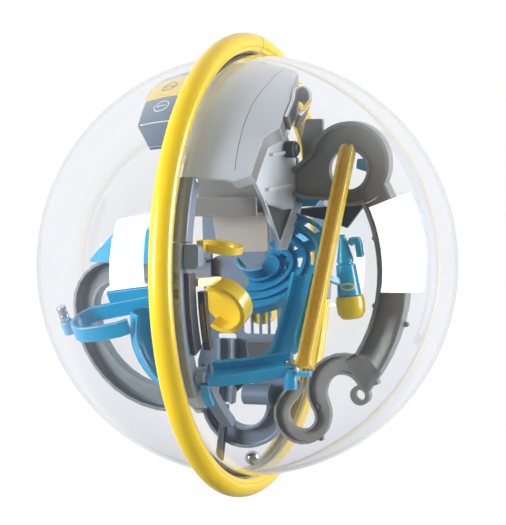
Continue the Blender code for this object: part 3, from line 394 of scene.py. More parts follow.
def skin(shape, rings, closed=False):
    """Faces between rings of corners, each ring to the next, and the last to the first if closed."""
    following = rings[1:] + rings[:1] if closed else rings[1:]
    faces = []
    for near, far in zip(rings, following):
        for k in range(len(near)):
            j = (k + 1) % len(near)
            faces.append(shape.faces.new((near[k], near[j], far[j], far[k])))
    return faces


def prism(name, outline, low, high, material):
    """A solid between two distances along X, from an outline of (y, z) corners."""
    shape = bmesh.new()
    ends = [[shape.verts.new((x, y, z)) for y, z in outline] for x in (low, high)]
    for end in ends:
        shape.faces.new(end)
    skin(shape, ends)
    bmesh.ops.recalc_face_normals(shape, faces=shape.faces[:])
    return mesh_of(shape, name, material)


def moulding(node, material, edge, skirt=None, pocket=None, lean=()):
    """A copy of a node with merged corners and rounded edges, as it comes out of the tool. A skirt is painted
    shade: a darker finish on the side that faces along +X, of the same plastic. A pocket is a mesh that is
    sunk into it. Each lean is the foot of a wall's corner and how far it moves, in millimetres, so that the
    wall slopes."""
    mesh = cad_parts[node].data.copy()
    shape = bmesh.new()
    shape.from_mesh(mesh)
    bmesh.ops.remove_doubles(shape, verts=shape.verts[:], dist=MERGE_GAP)
    bmesh.ops.dissolve_limit(shape, angle_limit=FLAT_ANGLE, verts=shape.verts[:], edges=shape.edges[:])
    for foot, shift in lean:
        for vert in shape.verts:
            if (vert.co - Vector(foot) * MM).length < FOOT_REACH:
                vert.co += Vector(shift) * MM
    mesh.materials.clear()
    mesh.materials.append(finish(material))
    for face in shape.faces:
        face.material_index = 0
        face.smooth = True
    # Painted shade: faces that look along +X take the darker finish, though the plastic is the same
    if skirt:
        mesh.materials.append(finish(skirt))
        shape.normal_update()
        for face in shape.faces:
            if face.normal.x > SKIRT_FACING:
                face.material_index = 1
    shape.to_mesh(mesh)
    shape.free()
    item = linked(node + "_raw", mesh)
    if pocket:
        cutter = linked(pocket.name, pocket)
        sunk = item.modifiers.new("Pocket", "BOOLEAN")
        sunk.object = cutter
        sunk.solver = "EXACT"
        sunk.material_mode = "TRANSFER"
    rounding = item.modifiers.new("Rounded edges", "BEVEL")
    rounding.width = edge
    rounding.segments = EDGE_STEPS
    rounding.limit_method = "ANGLE"
    rounding.angle_limit = EDGE_ANGLE
    rounding.miter_outer = "MITER_ARC"
    # The rounded edges take a paler finish, a painted highlight where they catch the light
    if material != "steel":
        rounding.material = len(mesh.materials)
        mesh.materials.append(highlit(material))
    flat = item.modifiers.new("Flat faces stay flat", "WEIGHTED_NORMAL")
    flat.mode = "FACE_AREA"
    flat.weight = FLAT_WEIGHT
    done = baked(item)
    if pocket:
        bpy.data.objects.remove(cutter)
    done.name = node + "_moulding"
    return place_piece(node + "_moulding", done, node)


def turned(name, profile, material, turns, axis, centre=Vector()):
    """A mesh turned about an axis from (radius, height) pairs that make a closed outline."""
    shape = bmesh.new()
    zero = axis.orthogonal().normalized()
    cross = axis.cross(zero)
    rings = []
    for i in range(turns):
        angle = 2 * pi * i / turns
        spoke = zero * cos(angle) + cross * sin(angle)
        rings.append([shape.verts.new(centre + axis * height + spoke * radius) for radius, height in profile])
    skin(shape, rings, closed=True)
    bmesh.ops.remove_doubles(shape, verts=shape.verts[:], dist=TURNED_GAP)
    bmesh.ops.dissolve_degenerate(shape, edges=shape.edges[:], dist=TURNED_GAP / 2)
    bmesh.ops.recalc_face_normals(shape, faces=shape.faces[:])
    mesh = mesh_of(shape, name, material)
    smooth(mesh, 40)
    return mesh


def arc_of(radius, turn, steps):
    """Points of an arc from a pole, as (radius, height) pairs."""
    return [(radius * sin(turn * i / steps), radius * cos(turn * i / steps)) for i in range(steps + 1)]


class GLOBE_OT_shells(bpy.types.Operator):
    """Turn the two clear half shells with the flanges that the ring grips."""
    bl_idname = "globe.shells"
    bl_label = "Clear shells"

    def execute(self, context):
        sizes = context.scene.globe_sizes
        outer = SHELL_RADIUS
        inner = outer - sizes.shell_wall
        rim = sizes.equator_gap / 2
        shoulder = rim + sizes.flange_thick
        reach = outer + sizes.flange_reach
        fillet, edge, rim_edge = 0.5 * MM, 0.3 * MM, 0.2 * MM
        foot = outer * sqrt(1 - ((shoulder + fillet) / outer) ** 2)
        profile = arc_of(outer, pi / 2 - (shoulder + fillet) / outer, sizes.shell_steps)
        profile += [(foot + 0.3 * fillet, shoulder + 0.4 * fillet), (foot + fillet, shoulder),
                    (reach - edge, shoulder), (reach, shoulder - edge), (reach, rim + rim_edge),
                    (reach - rim_edge, rim)]
        profile += reversed(arc_of(inner, pi / 2 - rim / inner, sizes.shell_steps))
        for node, side in (("hemisphere_right", 1), ("hemisphere_left", -1)):
            mesh = turned(node + "_clear", profile, finish("clear"), sizes.shell_turns, Vector((side, 0, 0)))
            place_piece(node + "_clear", mesh, node)
        return {"FINISHED"}


def start_tree(title, inputs):
    """A new geometry-nodes tree with its sockets, and the outputs of its group input."""
    tree = bpy.data.node_groups.new(title, "GeometryNodeTree")
    face = tree.interface
    face.new_socket("Geometry", in_out="INPUT", socket_type="NodeSocketGeometry")
    for label, kind in inputs:
        face.new_socket(label, in_out="INPUT", socket_type="NodeSocket" + kind)
    face.new_socket("Geometry", in_out="OUTPUT", socket_type="NodeSocketGeometry")
    return tree, add(tree, "NodeGroupInput").outputs


def end_tree(tree, geometry, material):
    """Make the geometry real, give it its material and send it out."""
    real = add(tree, "GeometryNodeRealizeInstances", {"Geometry": geometry})
    painted = add(tree, "GeometryNodeSetMaterial", {"Geometry": real.outputs[0], "Material": material})
    add(tree, "NodeGroupOutput", {"Geometry": painted.outputs[0]})
    return tree


def swept_ring_tree():
    """Geometry nodes: run a section around an arc about the X axis, with closed ends."""
    tree, given = start_tree("Swept ring", (
        ("Section", "Object"), ("Radius", "Float"), ("Start", "Float"), ("Sweep", "Float"), ("Turns", "Int"),
        ("Material", "Material")))
    arc = add(tree, "GeometryNodeCurveArc", {
        "Resolution": given["Turns"], "Radius": given["Radius"], "Start Angle": given["Start"],
        "Sweep Angle": given["Sweep"]}, mode="RADIUS")
    section = add(tree, "GeometryNodeObjectInfo", {"Object": given["Section"]})
    body = add(tree, "GeometryNodeCurveToMesh", {
        "Curve": arc.outputs[0], "Profile Curve": section.outputs["Geometry"], "Fill Caps": True})
    stood = add(tree, "GeometryNodeTransform", {"Geometry": body.outputs[0],
                                                "Rotation": (pi / 2, 0.0, pi / 2)})
    return end_tree(tree, stood.outputs[0], given["Material"])


def bead_tree():
    """Geometry nodes: a round bead along the object's own curve, for seams, ribs and printed lines."""
    tree, given = start_tree("Bead along path", (
        ("Radius", "Float"), ("Sides", "Int"), ("Material", "Material")))
    section = add(tree, "GeometryNodeCurvePrimitiveCircle", {
        "Resolution": given["Sides"], "Radius": given["Radius"]}, mode="RADIUS")
    body = add(tree, "GeometryNodeCurveToMesh", {
        "Curve": given["Geometry"], "Profile Curve": section.outputs[0], "Fill Caps": True})
    return end_tree(tree, body.outputs[0], given["Material"])


def run_tree(name, data, tree, values):
    """Give an object a geometry-nodes tree with its inputs set, and return the mesh that it makes."""
    item = linked(name, data)
    step = item.modifiers.new("Nodes", "NODES")
    step.node_group = tree
    for socket in tree.interface.items_tree:
        if socket.in_out == "INPUT" and socket.name in values:
            step[socket.identifier] = values[socket.name]
    mesh = baked(item)
    mesh.name = name
    return mesh


def poly_curve(name, lines, closed):
    """A curve of straight lines through each list of points."""
    curve = bpy.data.curves.new(name, "CURVE")
    curve.dimensions = "3D"
    for points in lines:
        spline = curve.splines.new("POLY")
        spline.points.add(len(points) - 1)
        for spot, point in zip(spline.points, points):
            spot.co = (*point, 1.0)
        spline.use_cyclic_u = closed
    return curve


def beads(name, lines, width, sides, material):
    """A mesh of round beads, one along each line of places."""
    mesh = run_tree(name, poly_curve(name, lines, False), bead_tree(), {
        "Radius": width / 2, "Sides": sides, "Material": finish(material)})
    mesh.shade_smooth()
    return mesh


def dome_spot(x, angle):
    """A place on the globe at a distance along the ring's axis and an angle up from the front."""
    radius = sqrt(SHELL_RADIUS ** 2 - x ** 2)
    return Vector((x, -radius * cos(radians(angle)), radius * sin(radians(angle))))


def laid_on(node, origins, sink, along=None):
    """Each place moved onto a node, along a direction or in towards the globe's centre, and sunk a little."""
    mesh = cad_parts[node].data
    faces = BVHTree.FromPolygons([v.co for v in mesh.vertices], [p.vertices for p in mesh.polygons])
    line = []
    for origin in origins:
        inward = along or -origin.normalized()
        spot = faces.ray_cast(origin, inward)[0]
        if spot is None:
            raise RuntimeError("A mark misses " + node)
        line.append(spot + inward * sink)
    return line


def mark(name, node, strokes, width, ink, along=None):
    """A printed line on a node, or a line painted as the shadow in a scored seam or as the highlight on a
    fold: one bead along each stroke of places outside it.
    """
    lines = [laid_on(node, stroke, LINE_SINK * width, along) for stroke in strokes]
    return place_piece(name, beads(name, lines, width, LINE_SIDES, ink))


def ribs(name, lines, width, material):
    """Round ribs moulded along lines, which are given in millimetres."""
    lines = [[Vector(spot) * MM for spot in line] for line in lines]
    mesh = beads(name, lines, width, RIB_SIDES, material)
    smooth(mesh, 50)
    return place_piece(name, mesh)


def between(first, last, steps):
    """Equal steps from one pair of numbers towards another, without the last."""
    (a, b), (c, d) = first, last
    return [(a + (c - a) * i / steps, b + (d - b) * i / steps) for i in range(steps)]


def numbered(x, angle, radius, strokes):
    """Strokes of a number in a ring, as places outside the dome. The number's top points along -X."""
    centre = dome_spot(x, angle)
    out = centre.normalized()
    up = Vector((-1, 0, 0))
    up = (up - out * up.dot(out)).normalized()
    right = up.cross(out)
    turns = [2 * pi * i / RING_STEPS for i in range(RING_STEPS + 1)]
    lines = []
    for stroke in [[(radius * cos(turn), radius * sin(turn)) for turn in turns]] + strokes:
        points = []
        for first, last in zip(stroke, stroke[1:]):
            points += between(first, last, STROKE_STEPS)
        points.append(stroke[-1])
        lines.append([centre + right * u + up * v for u, v in points])
    return lines


class GLOBE_OT_ring(bpy.types.Operator):
    """Sweep the yellow clamp ring: a round bead, a lip on each side and the groove for both flanges."""
    bl_idname = "globe.ring"
    bl_label = "Clamp ring"

    # Points around the bead, the slit's angle up from the back, and the ring's fits in millimetres
    bead_steps = 28
    slit_angle = radians(82)
    shell_fit = 1.4
    lip_step = 0.9
    bead_foot = 1.6
    flange_fit = 0.3

    def execute(self, context):
        sizes = context.scene.globe_sizes
        section = self.section(sizes)
        outline = [(radius - RING_RADIUS, -height, 0.0) for radius, height in section]
        holder = linked("ring_section", poly_curve("ring_section", [outline], True))
        half_slit = sizes.ring_slit / 2 / RING_RADIUS
        mesh = run_tree("clamp_ring_moulding", bpy.data.meshes.new("ring_seed"), swept_ring_tree(), {
            "Section": holder, "Radius": RING_RADIUS, "Start": self.slit_angle + half_slit,
            "Sweep": 2 * pi - 2 * half_slit, "Turns": sizes.ring_turns, "Material": finish("yellow")})
        bpy.data.objects.remove(holder)
        shape = bmesh.new()
        shape.from_mesh(mesh)
        bmesh.ops.remove_doubles(shape, verts=shape.verts[:], dist=TURNED_GAP)
        bmesh.ops.recalc_face_normals(shape, faces=shape.faces[:])
        shape.to_mesh(mesh)
        shape.free()
        smooth(mesh, 50)
        place_piece("clamp_ring_moulding", mesh, "clamp_ring")
        return {"FINISHED"}

    def section(self, sizes):
        # The ring's outline as (radius, distance along the axis) pairs
        half = RING_HALF
        bead = sizes.ring_bead
        lip = SHELL_RADIUS + self.shell_fit * MM
        lip_half = half - self.lip_step * MM
        crease = RING_RADIUS - bead - self.bead_foot * MM
        groove = sizes.equator_gap / 2 + sizes.flange_thick + self.flange_fit * MM
        floor = SHELL_RADIUS + sizes.flange_reach + self.flange_fit * MM
        turns = [pi * i / self.bead_steps for i in range(self.bead_steps + 1)]
        outline = [(RING_RADIUS - bead + bead * sin(turn), -half * cos(turn)) for turn in turns]
        # Rounded corners of one side: a corner, and offsets from it in millimetres
        corners = ((crease, half, ((0.35, 0.0), (0.08, -0.1))),
                   (crease, lip_half, ((-0.2, 0.4), (-0.5, 0.06), (-0.9, 0.0))),
                   (lip, lip_half, ((0.35, -0.2), (0.1, -0.32), (0.0, -0.6))),
                   (lip, groove, ((0.0, 0.2), (0.2, 0.0))),
                   (floor, groove, ((0.0, 0.0),)))
        side = [(radius + out * MM, height + over * MM)
                for radius, height, steps in corners for out, over in steps]
        return outline + side + [(radius, -height) for radius, height in reversed(side)]


class GLOBE_OT_frame(bpy.types.Operator):
    """Finish the strips, rails and tab that carry the maze inside the ring."""
    bl_idname = "globe.frame"
    bl_label = "Equator frame"

    def execute(self, context):
        sizes = context.scene.globe_sizes
        for node in ("frame_strip_upper", "frame_strip_lower", "far_frame_strip", "frame_tab"):
            moulding(node, "blue_grey", sizes.soft_edge)
        moulding("frame_strap", "slate", sizes.soft_edge)
        # Painted shade: the rail is near black where the slot beside the strip lies in shadow
        for node in ("frame_rail", "frame_guide"):
            moulding(node, "charcoal", sizes.fine_edge)
        return {"FINISHED"}


class GLOBE_OT_start_chamber(bpy.types.Operator):
    """Finish the start chamber at the top: cover, tray, panel, wall and the bent strip."""
    bl_idname = "globe.start_chamber"
    bl_label = "Start chamber"

    # The pocket's corners in the start wall as (y, z) and how far its cutter stands out, the wall's thickness
    # and its rib's ends, in mm
    pocket_corners = ((-48.0, 32.0), (-29.8, 28.3), (-17.0, 27.6), (-33.0, 14.4))
    pocket_clear = 1
    wall_thick = 1.8
    wall_ribs = (((29.1, -50.6, 33.5), (29.1, -29.5, 29.3)),)
    # Bends of the cover's seam and turns of the strip: mm along the ring's axis, and angle up from the front
    seam_bends = ((26.3, 32.5), (25.4, 40.0), (25.0, 47.0), (24.9, 56.0), (26.2, 69.0), (25.8, 83.0))
    strip_turns = ((38.7, 55.5), (37.9, 64.0), (35.9, 70.5), (37.6, 74.2), (41.6, 72.8), (44.4, 66.5),
                   (43.4, 58.5))
    # The strip's gap under the shell and its sink below that, in mm, and its steps from turn to turn
    strip_gap = 1.6
    strip_sink = 0.5
    strip_steps = 12
    # Steps along the strip where it starts to lean out with the dome, and over which it leans
    lean_from = 24
    lean_over = 16
    # The strip's corner rounding in mm, and the sides of its section that carry a painted highlight in paler
    # light grey
    strip_edge = 0.25
    highlit_sides = (2, 3, 4)

    def execute(self, context):
        sizes = context.scene.globe_sizes
        corners = [(y * MM, z * MM) for y, z in self.pocket_corners]
        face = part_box("start_wall")[0].x + self.wall_thick * MM
        # The pocket's floor takes the darker grey, as painted shade in the recess
        pocket = prism("start_wall_pocket", corners, face - sizes.wall_pocket, face + self.pocket_clear * MM,
                       finish("warm_grey"))
        moulding("start_wall", "light_grey", sizes.soft_edge, pocket=pocket)
        moulding("start_stud", "light_grey", sizes.soft_edge)
        # Painted shade: the panel under the tray is darker and warmer than the wall
        moulding("start_panel", "sand_grey", sizes.soft_edge)
        # Painted shade: the cover's side along +X is the darker grey
        moulding("start_cover", "light_grey", sizes.soft_edge, skirt="warm_grey")
        self.bent_strip(sizes)
        # Painted shade: the tray is the darker grey
        moulding("start_tray", "warm_grey", sizes.soft_edge)
        moulding("start_knob", "charcoal", sizes.soft_edge)
        for node in ("start_tip_upper", "start_tip_lower"):
            moulding(node, "yellow", sizes.fine_edge)
        seam = []
        for first, last in zip(self.seam_bends, self.seam_bends[1:]):
            seam += [dome_spot(x * MM, angle) for x, angle in between(first, last, SEAM_STEPS)]
        # Painted shadow: the seam is a dark line where the scored groove lies in shade
        mark("start_cover_seam", "start_cover", [seam], sizes.seam_line, "seam_ink")
        ribs("start_wall_ribs", self.wall_ribs, sizes.wall_rib, "light_grey")
        return {"FINISHED"}

    def strip_path(self, sizes):
        # A smooth path under the shell, through the strip's turns
        inside = SHELL_RADIUS - sizes.shell_wall - self.strip_gap * MM
        spots = []
        for x, angle in self.strip_turns:
            out = dome_spot(x * MM, angle)
            radius = sqrt(inside ** 2 - out.x ** 2) - self.strip_sink * MM
            spots.append(Vector((out.x, *(out.yz * (radius / out.yz.length)))))
        path = [spots[0]]
        for i in range(len(spots) - 1):
            near, far = spots[i], spots[i + 1]
            before = spots[i - 1] if i else near
            after = spots[i + 2] if i + 2 < len(spots) else far
            path += interpolate_bezier(near, near + (far - before) / 6, far - (after - near) / 6, far,
                                       self.strip_steps + 1)[1:]
        return path

    def bent_strip(self, sizes):
        path = self.strip_path(sizes)
        half, deep, curve = sizes.strip_thick / 2, sizes.strip_deep, self.strip_edge * MM
        section = [(-half, -deep), (half, -deep), (half, -curve), (half - curve, 0.0), (curve - half, 0.0),
                   (-half, -curve)]
        shape = bmesh.new()
        rings = []
        for i, spot in enumerate(path):
            along = (path[min(i + 1, len(path) - 1)] - path[max(i - 1, 0)]).normalized()
            lean = min(1.0, max(0.0, (i - self.lean_from) / self.lean_over))
            up = Vector((spot.x * lean, spot.y, spot.z)).normalized()
            side = along.cross(up).normalized()
            rise = side.cross(along)
            rings.append([shape.verts.new(spot + side * s + rise * h) for s, h in section])
        for i, face in enumerate(skin(shape, rings)):
            face.material_index = int(i % len(section) in self.highlit_sides)
        shape.faces.new(rings[0])
        shape.faces.new(rings[-1])
        bmesh.ops.recalc_face_normals(shape, faces=shape.faces[:])
        # Painted shade: the strip is the darker grey, with a painted highlight of paler light grey on its top
        # and corners
        mesh = mesh_of(shape, "start_loop_strip", finish("warm_grey"), highlit("light_grey"))
        smooth(mesh, 35)
        place_piece("start_loop_strip", mesh, "start_loop")


class GLOBE_OT_number_plates(bpy.types.Operator):
    """Finish the numbered plates beside the cover."""
    bl_idname = "globe.number_plates"
    bl_label = "Number plates"

    # Strokes of the numbers as (right, up) in mm
    one = ((0.3, -2.2), (0.3, 2.2), (-0.8, 1.3))
    two = ((-1.2, 1.2), (-1.05, 1.7), (-0.6, 2.1), (0.0, 2.25), (0.6, 2.1), (1.05, 1.7), (1.2, 1.2),
           (1.0, 0.6), (0.5, 0.0), (-1.25, -2.2), (1.3, -2.2))
    # Each print: its plate, mm along the ring's axis, angle up from the front, stroke and ink
    prints = (("plate_one_print", "number_plate_one", -18.9, 54.9, one, "white_ink"),
              ("plate_two_print", "number_plate_two", -20.9, 65.4, two, "dark_ink"))
    # The fold line on the first plate, a painted highlight in white where the plate folds: where it starts in
    # mm, its steps and its angle up from the front
    fold_start = -26.3
    fold_step = 0.8
    fold_steps = 21
    fold_angle = 48.0

    def execute(self, context):
        sizes = context.scene.globe_sizes
        for node, material in (("number_plate_one", "slate"), ("number_plate_two", "yellow"),
                               ("number_plate_three", "slate")):
            moulding(node, material, sizes.fine_edge)
        for name, node, x, angle, stroke, ink in self.prints:
            drawn = [[(u * MM, v * MM) for u, v in stroke]]
            lines = numbered(x * MM, angle, sizes.print_ring / 2, drawn)
            mark(name, node, lines, sizes.print_line, ink)
        fold = [dome_spot((self.fold_start + self.fold_step * i) * MM, self.fold_angle)
                for i in range(self.fold_steps)]
        mark("plate_one_fold", "number_plate_one", [fold], sizes.print_line, "white_ink")
        return {"FINISHED"}


class GLOBE_OT_main_track(bpy.types.Operator):
    """Finish the grey main track: dish, lane, hook, the loop and strip on the left, and the rear track."""
    bl_idname = "globe.main_track"
    bl_label = "Main track"

    # The hook's wall at the lane's end slopes, so that the two run together: feet and shifts in mm
    hook_lean = (((52.5, -12.0, -41.6), (4.2, 0.0, 2.4)), ((54.5, -12.0, -45.0), (4.4, 0.0, 3.2)),
                 ((59.5, -12.0, -51.0), (4.2, 0.0, 3.6)), ((60.7, -12.0, -53.1), (3.0, 0.0, 3.2)),
                 ((61.5, -12.0, -53.5), (2.6, 0.0, 3.3)), ((61.8, -12.0, -53.8), (2.5, 0.0, 3.4)))

    def execute(self, context):
        sizes = context.scene.globe_sizes
        for node in ("dish_track", "right_lane", "rear_track"):
            moulding(node, "mid_grey", sizes.soft_edge)
        moulding("hook_track", "mid_grey", sizes.soft_edge, lean=self.hook_lean)
        moulding("left_loop", "cool_grey", sizes.soft_edge)
        moulding("left_strip", "light_grey", sizes.fine_edge)
        return {"FINISHED"}


class GLOBE_OT_web(bpy.types.Operator):
    """Finish the upright web, the slate and charcoal pieces on it, and its ribs."""
    bl_idname = "globe.web"
    bl_label = "Centre web"

    # Two groups of upright ribs on the web: their places along X, their depth, top and bottom, in mm
    rib_groups = (((5.2, 9.4, 13.6), -9.2, -16.4, -31.6), ((-20.0, -17.0, -14.0), -10.2, -45.5, -56.5))

    def execute(self, context):
        sizes = context.scene.globe_sizes
        for node in ("center_web", "web_chute", "bottom_loop"):
            moulding(node, "slate", sizes.soft_edge)
        # Painted shade: the shade panel is near black where the web's window lies in shadow
        for node in ("shade_panel", "dark_shelf", "bottom_rib"):
            moulding(node, "charcoal", sizes.soft_edge)
        moulding("beam_pin", "blue_grey", sizes.soft_edge)
        lines = [((x, y, top), (x, y, low)) for places, y, top, low in self.rib_groups for x in places]
        ribs("center_web_ribs", lines, sizes.web_rib, "slate")
        return {"FINISHED"}


class GLOBE_OT_blue_track(bpy.types.Operator):
    """Finish the blue pieces: spiral, beam, forks, chute and dropper."""
    bl_idname = "globe.blue_track"
    bl_label = "Blue track"

    def execute(self, context):
        sizes = context.scene.globe_sizes
        # Painted shade: the spiral is the darker blue
        for node in ("spiral_track", "spiral_cup"):
            moulding(node, "deep_blue", sizes.soft_edge)
        for node in ("beam_lower", "beam_upper", "beam_peg", "left_fork", "left_chute", "left_ramp",
                     "left_peg", "dropper_tube", "dropper_hook", "rear_ramp", "dish_latch"):
            moulding(node, "blue", sizes.soft_edge)
        for node in ("beam_bracket", "rail_shoe", "blue_flag"):
            moulding(node, "blue", sizes.fine_edge)
        return {"FINISHED"}


class GLOBE_OT_yellow_track(bpy.types.Operator):
    """Finish the yellow pieces: rail, scoop, hoop and cups, and the oval rim on the dropper tube."""
    bl_idname = "globe.yellow_track"
    bl_label = "Yellow track"

    # The oval rim faces the front: its place, the way it faces, its half width and half height, in mm
    rim_spot = Vector((59.76, -30.85, -6.11))
    rim_facing = Vector((0.336, -0.939, 0.07)).normalized()
    rim_wide = 2.8
    rim_high = 1.4
    rim_steps = 32
    # How far outside the tube the oval is drawn before it is laid on, in mm
    rim_clear = 20

    def execute(self, context):
        sizes = context.scene.globe_sizes
        for node in ("long_rail", "scoop", "hoop", "dropper_cup", "rear_cup"):
            moulding(node, "yellow", sizes.soft_edge)
        out = self.rim_facing
        across = Vector((0, 0, 1)).cross(out).normalized()
        above = out.cross(across)
        oval = []
        for i in range(self.rim_steps + 1):
            turn = 2 * pi * i / self.rim_steps
            drawn = out * self.rim_clear + across * self.rim_wide * cos(turn)
            drawn += above * self.rim_high * sin(turn)
            oval.append(self.rim_spot * MM + drawn * MM)
        mark("dropper_tube_rim", "dropper_tube", [oval], sizes.tube_rim, "yellow", -out)
        return {"FINISHED"}


class GLOBE_OT_steel(bpy.types.Operator):
    """Turn the polished ball and finish the steel caps on the pegs."""
    bl_idname = "globe.steel"
    bl_label = "Steel ball and caps"

    # Facets from pole to pole of the ball
    ball_steps = 40

    def execute(self, context):
        sizes = context.scene.globe_sizes
        centre = (BALL_LOW + BALL_HIGH) / 2
        profile = arc_of((BALL_HIGH.z - BALL_LOW.z) / 2, pi, self.ball_steps)
        mesh = turned("steel_ball_polished", profile, finish("steel"), 2 * self.ball_steps,
                      Vector((0, 0, 1)), centre)
        place_piece("steel_ball_polished", mesh, "steel_ball", body="ball")
        for node in ("beam_peg_cap", "left_cap_lower", "left_cap_upper"):
            moulding(node, "steel", sizes.soft_edge)
        return {"FINISHED"}


def stand(item, spot, right, up):
    """Put a lamp at a place, with its width and height along two directions."""
    back = right.cross(up).normalized()
    right = right.normalized()
    turn = Matrix((right, back.cross(right), back)).transposed().to_4x4()
    turn.translation = spot
    item.matrix_world = turn


def studio_level(tree, toward, fill, room, white=1.0):
    """How bright the studio is in a direction. The camera sees white, straight or through the shells. Gloss
    sees the white paper behind the globe and the darker room in front of it. All other rays get the fill
    light. Returns whether the camera sees it, and the brightness."""
    path = add(tree, "ShaderNodeLightPath").outputs
    unbent = reckon(tree, "LESS_THAN", path["Glossy Depth"], 0.5)
    through = reckon(tree, "MULTIPLY", path["Is Transmission Ray"], unbent)
    seen = reckon(tree, "MAXIMUM", path["Is Camera Ray"], through)
    ahead = add(tree, "ShaderNodeVectorMath", {0: toward, 1: VIEW_BACK}, operation="DOT_PRODUCT")
    paper = add(tree, "ShaderNodeMapRange", {"Value": ahead.outputs["Value"], "From Min": -0.45,
                                             "From Max": 0.25, "To Min": 1.0, "To Max": room})
    soft = add(tree, "ShaderNodeMix", {0: path["Is Glossy Ray"], 2: fill, 3: paper.outputs[0]})
    bright = add(tree, "ShaderNodeMix", {0: seen, 2: soft.outputs[0], 3: white})
    return seen, bright.outputs[0]


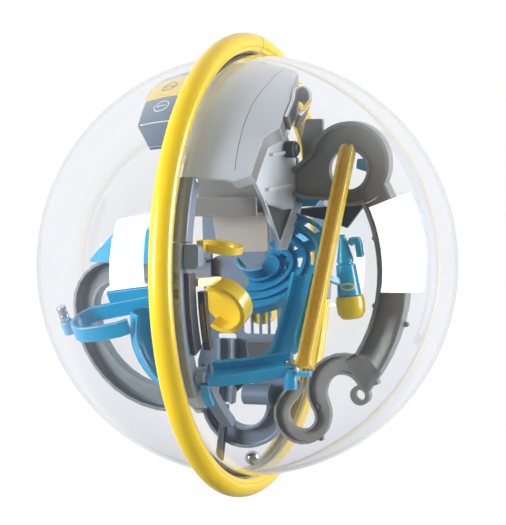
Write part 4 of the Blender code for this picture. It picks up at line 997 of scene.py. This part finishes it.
class GLOBE_OT_stage(bpy.types.Operator):
    """Set the floor, the soft boxes, the white surround and the photograph's camera."""
    bl_idname = "globe.stage"
    bl_label = "Stage"

    # Each box: place, directions of its width and height, width and height, in metres. The near box stands
    # in for the right one in gloss, where the floor would hide that one's foot.
    boxes = {
        "right": ((0.7925, 0.3305, -0.0131), (-0.1691, 0.9850, -0.0338), (-0.2897, -0.0169, 0.9570),
                  0.600, 0.700),
        "near": ((0.4438, 0.1514, 0.0463), (-0.1525, 0.9875, -0.0387), (-0.2097, -0.0422, 0.9769),
                 0.299, 0.295),
        "left": ((-0.6600, -0.6647, 0.1761), (0.9340, -0.3412, 0.1057), (-0.1178, -0.0149, 0.9929),
                 0.385, 0.511),
        "top": ((0.1900, -0.2600, 0.9400), (0.8076, 0.5898, 0.0), (-0.5544, 0.7592, 0.3412),
                0.900, 0.700)}
    # The shine stands a little nearer than the light, because lamps at one place hide each other
    shine_nearer = 0.99
    # The floor's radius in metres, its facets, its gap under the globe in mm, how white the camera sees it
    # and the share of that white over its own matt colour
    floor_radius = 4.0
    floor_sides = 96
    floor_gap = 0.5
    floor_white = 1.035
    floor_share = 0.95

    def execute(self, context):
        scene = context.scene
        stage = scene.globe_stage
        self.lamps(stage)
        self.surround(scene, stage)
        self.floor(stage)
        self.camera(scene)
        scene.view_settings.view_transform = "Standard"
        return {"FINISHED"}

    def lamps(self, stage):
        lights = {"right": stage.right_light, "left": stage.left_light, "top": stage.top_light}
        shines = {"near": stage.shine, "left": stage.shine}
        for side, (spot, right, up, width, height) in self.boxes.items():
            for use, levels, nearer in (("light", lights, 1.0), ("shine", shines, self.shine_nearer)):
                if side not in levels:
                    continue
                name = "soft_box_" + side + "_" + use
                lamp = bpy.data.lights.new(name, "AREA")
                lamp.shape = "RECTANGLE"
                lamp.size = width * stage.box_distance * nearer
                lamp.size_y = height * stage.box_distance * nearer
                lamp.energy = levels[side] * lamp.size * lamp.size_y * pi
                item = linked(name, lamp)
                item.visible_camera = False
                item.visible_diffuse = use == "light"
                item.visible_glossy = use == "shine"
                item.visible_transmission = False
                stand(item, Vector(spot) * stage.box_distance * nearer, Vector(right), Vector(up))

    def surround(self, scene, stage):
        world = bpy.data.worlds.new("White surround")
        scene.world = world
        world.use_nodes = True
        tree = world.node_tree
        tree.nodes.clear()
        toward = add(tree, "ShaderNodeTexCoord").outputs["Generated"]
        bright = studio_level(tree, toward, stage.fill, stage.room)[1]
        light = add(tree, "ShaderNodeBackground", {"Color": (1.0, 1.0, 1.0, 1.0), "Strength": bright})
        add(tree, "ShaderNodeOutputWorld", {"Surface": light.outputs[0]})

    def floor(self, stage):
        material, tree = new_material("Pale studio floor")
        place = add(tree, "ShaderNodeNewGeometry").outputs["Position"]
        toward = add(tree, "ShaderNodeVectorMath", {0: place}, operation="NORMALIZE")
        seen, bright = studio_level(tree, toward.outputs[0], 0.0, stage.room, self.floor_white)
        gloss = add(tree, "ShaderNodeLightPath").outputs["Is Glossy Ray"]
        share = reckon(tree, "MULTIPLY", reckon(tree, "MAXIMUM", seen, gloss), self.floor_share)
        matt = add(tree, "ShaderNodeBsdfDiffuse", {"Color": opaque(stage.floor_colour)})
        white = add(tree, "ShaderNodeEmission", {"Color": (1.0, 1.0, 1.0, 1.0), "Strength": bright})
        both = add(tree, "ShaderNodeMixShader", {0: share, 1: matt.outputs[0], 2: white.outputs[0]})
        add(tree, "ShaderNodeOutputMaterial", {"Surface": both.outputs[0]})
        shape = bmesh.new()
        bmesh.ops.create_circle(shape, cap_ends=True, segments=self.floor_sides, radius=self.floor_radius)
        bmesh.ops.translate(shape, verts=shape.verts[:], vec=(0, 0, CAD_BOX[0].z - self.floor_gap * MM))
        linked("studio_floor", mesh_of(shape, "studio_floor", material))

    def camera(self, scene):
        lens = bpy.data.cameras.new("photo_camera")
        lens.sensor_width = SENSOR_WIDTH
        lens.sensor_fit = "AUTO"
        lens.lens = LENS
        lens.shift_x = CENTRE_OFFSET[0] / PICTURE_HEIGHT
        lens.shift_y = CENTRE_OFFSET[1] / PICTURE_HEIGHT
        item = linked("photo_camera", lens)
        turn = Matrix((VIEW_RIGHT, VIEW_UP, VIEW_BACK)).transposed().to_4x4()
        turn.translation = VIEW_BACK * VIEW_DISTANCE
        item.matrix_world = turn
        scene.camera = item


OPERATORS = (GLOBE_OT_shells, GLOBE_OT_ring, GLOBE_OT_frame, GLOBE_OT_start_chamber, GLOBE_OT_number_plates,
             GLOBE_OT_main_track, GLOBE_OT_web, GLOBE_OT_blue_track, GLOBE_OT_yellow_track, GLOBE_OT_steel,
             GLOBE_OT_stage)


class GLOBE_PT_panel(bpy.types.Panel):
    bl_idname = "GLOBE_PT_panel"
    bl_label = "Maze Globe"
    bl_space_type = "VIEW_3D"
    bl_region_type = "UI"
    bl_category = "Maze Globe"

    def draw(self, context):
        layout = self.layout
        for group in (context.scene.globe_sizes, context.scene.globe_colours, context.scene.globe_stage):
            box = layout.box()
            for name in group.__annotations__:
                box.prop(group, name)
        for operator in OPERATORS:
            layout.operator(operator.bl_idname)


CLASSES = (GlobeSizes, GlobeColours, GlobeStage) + OPERATORS + (GLOBE_PT_panel,)


def register():
    for item in CLASSES:
        bpy.utils.register_class(item)
    bpy.types.Scene.globe_sizes = PointerProperty(type=GlobeSizes)
    bpy.types.Scene.globe_colours = PointerProperty(type=GlobeColours)
    bpy.types.Scene.globe_stage = PointerProperty(type=GlobeStage)


def unregister():
    del bpy.types.Scene.globe_stage
    del bpy.types.Scene.globe_colours
    del bpy.types.Scene.globe_sizes
    for item in reversed(CLASSES):
        bpy.utils.unregister_class(item)


def main():
    register()
    bpy.ops.globe.shells()
    bpy.ops.globe.ring()
    bpy.ops.globe.frame()
    bpy.ops.globe.start_chamber()
    bpy.ops.globe.number_plates()
    bpy.ops.globe.main_track()
    bpy.ops.globe.web()
    bpy.ops.globe.blue_track()
    bpy.ops.globe.yellow_track()
    bpy.ops.globe.steel()
    bpy.ops.globe.stage()


if __name__ == "__main__":
    main()
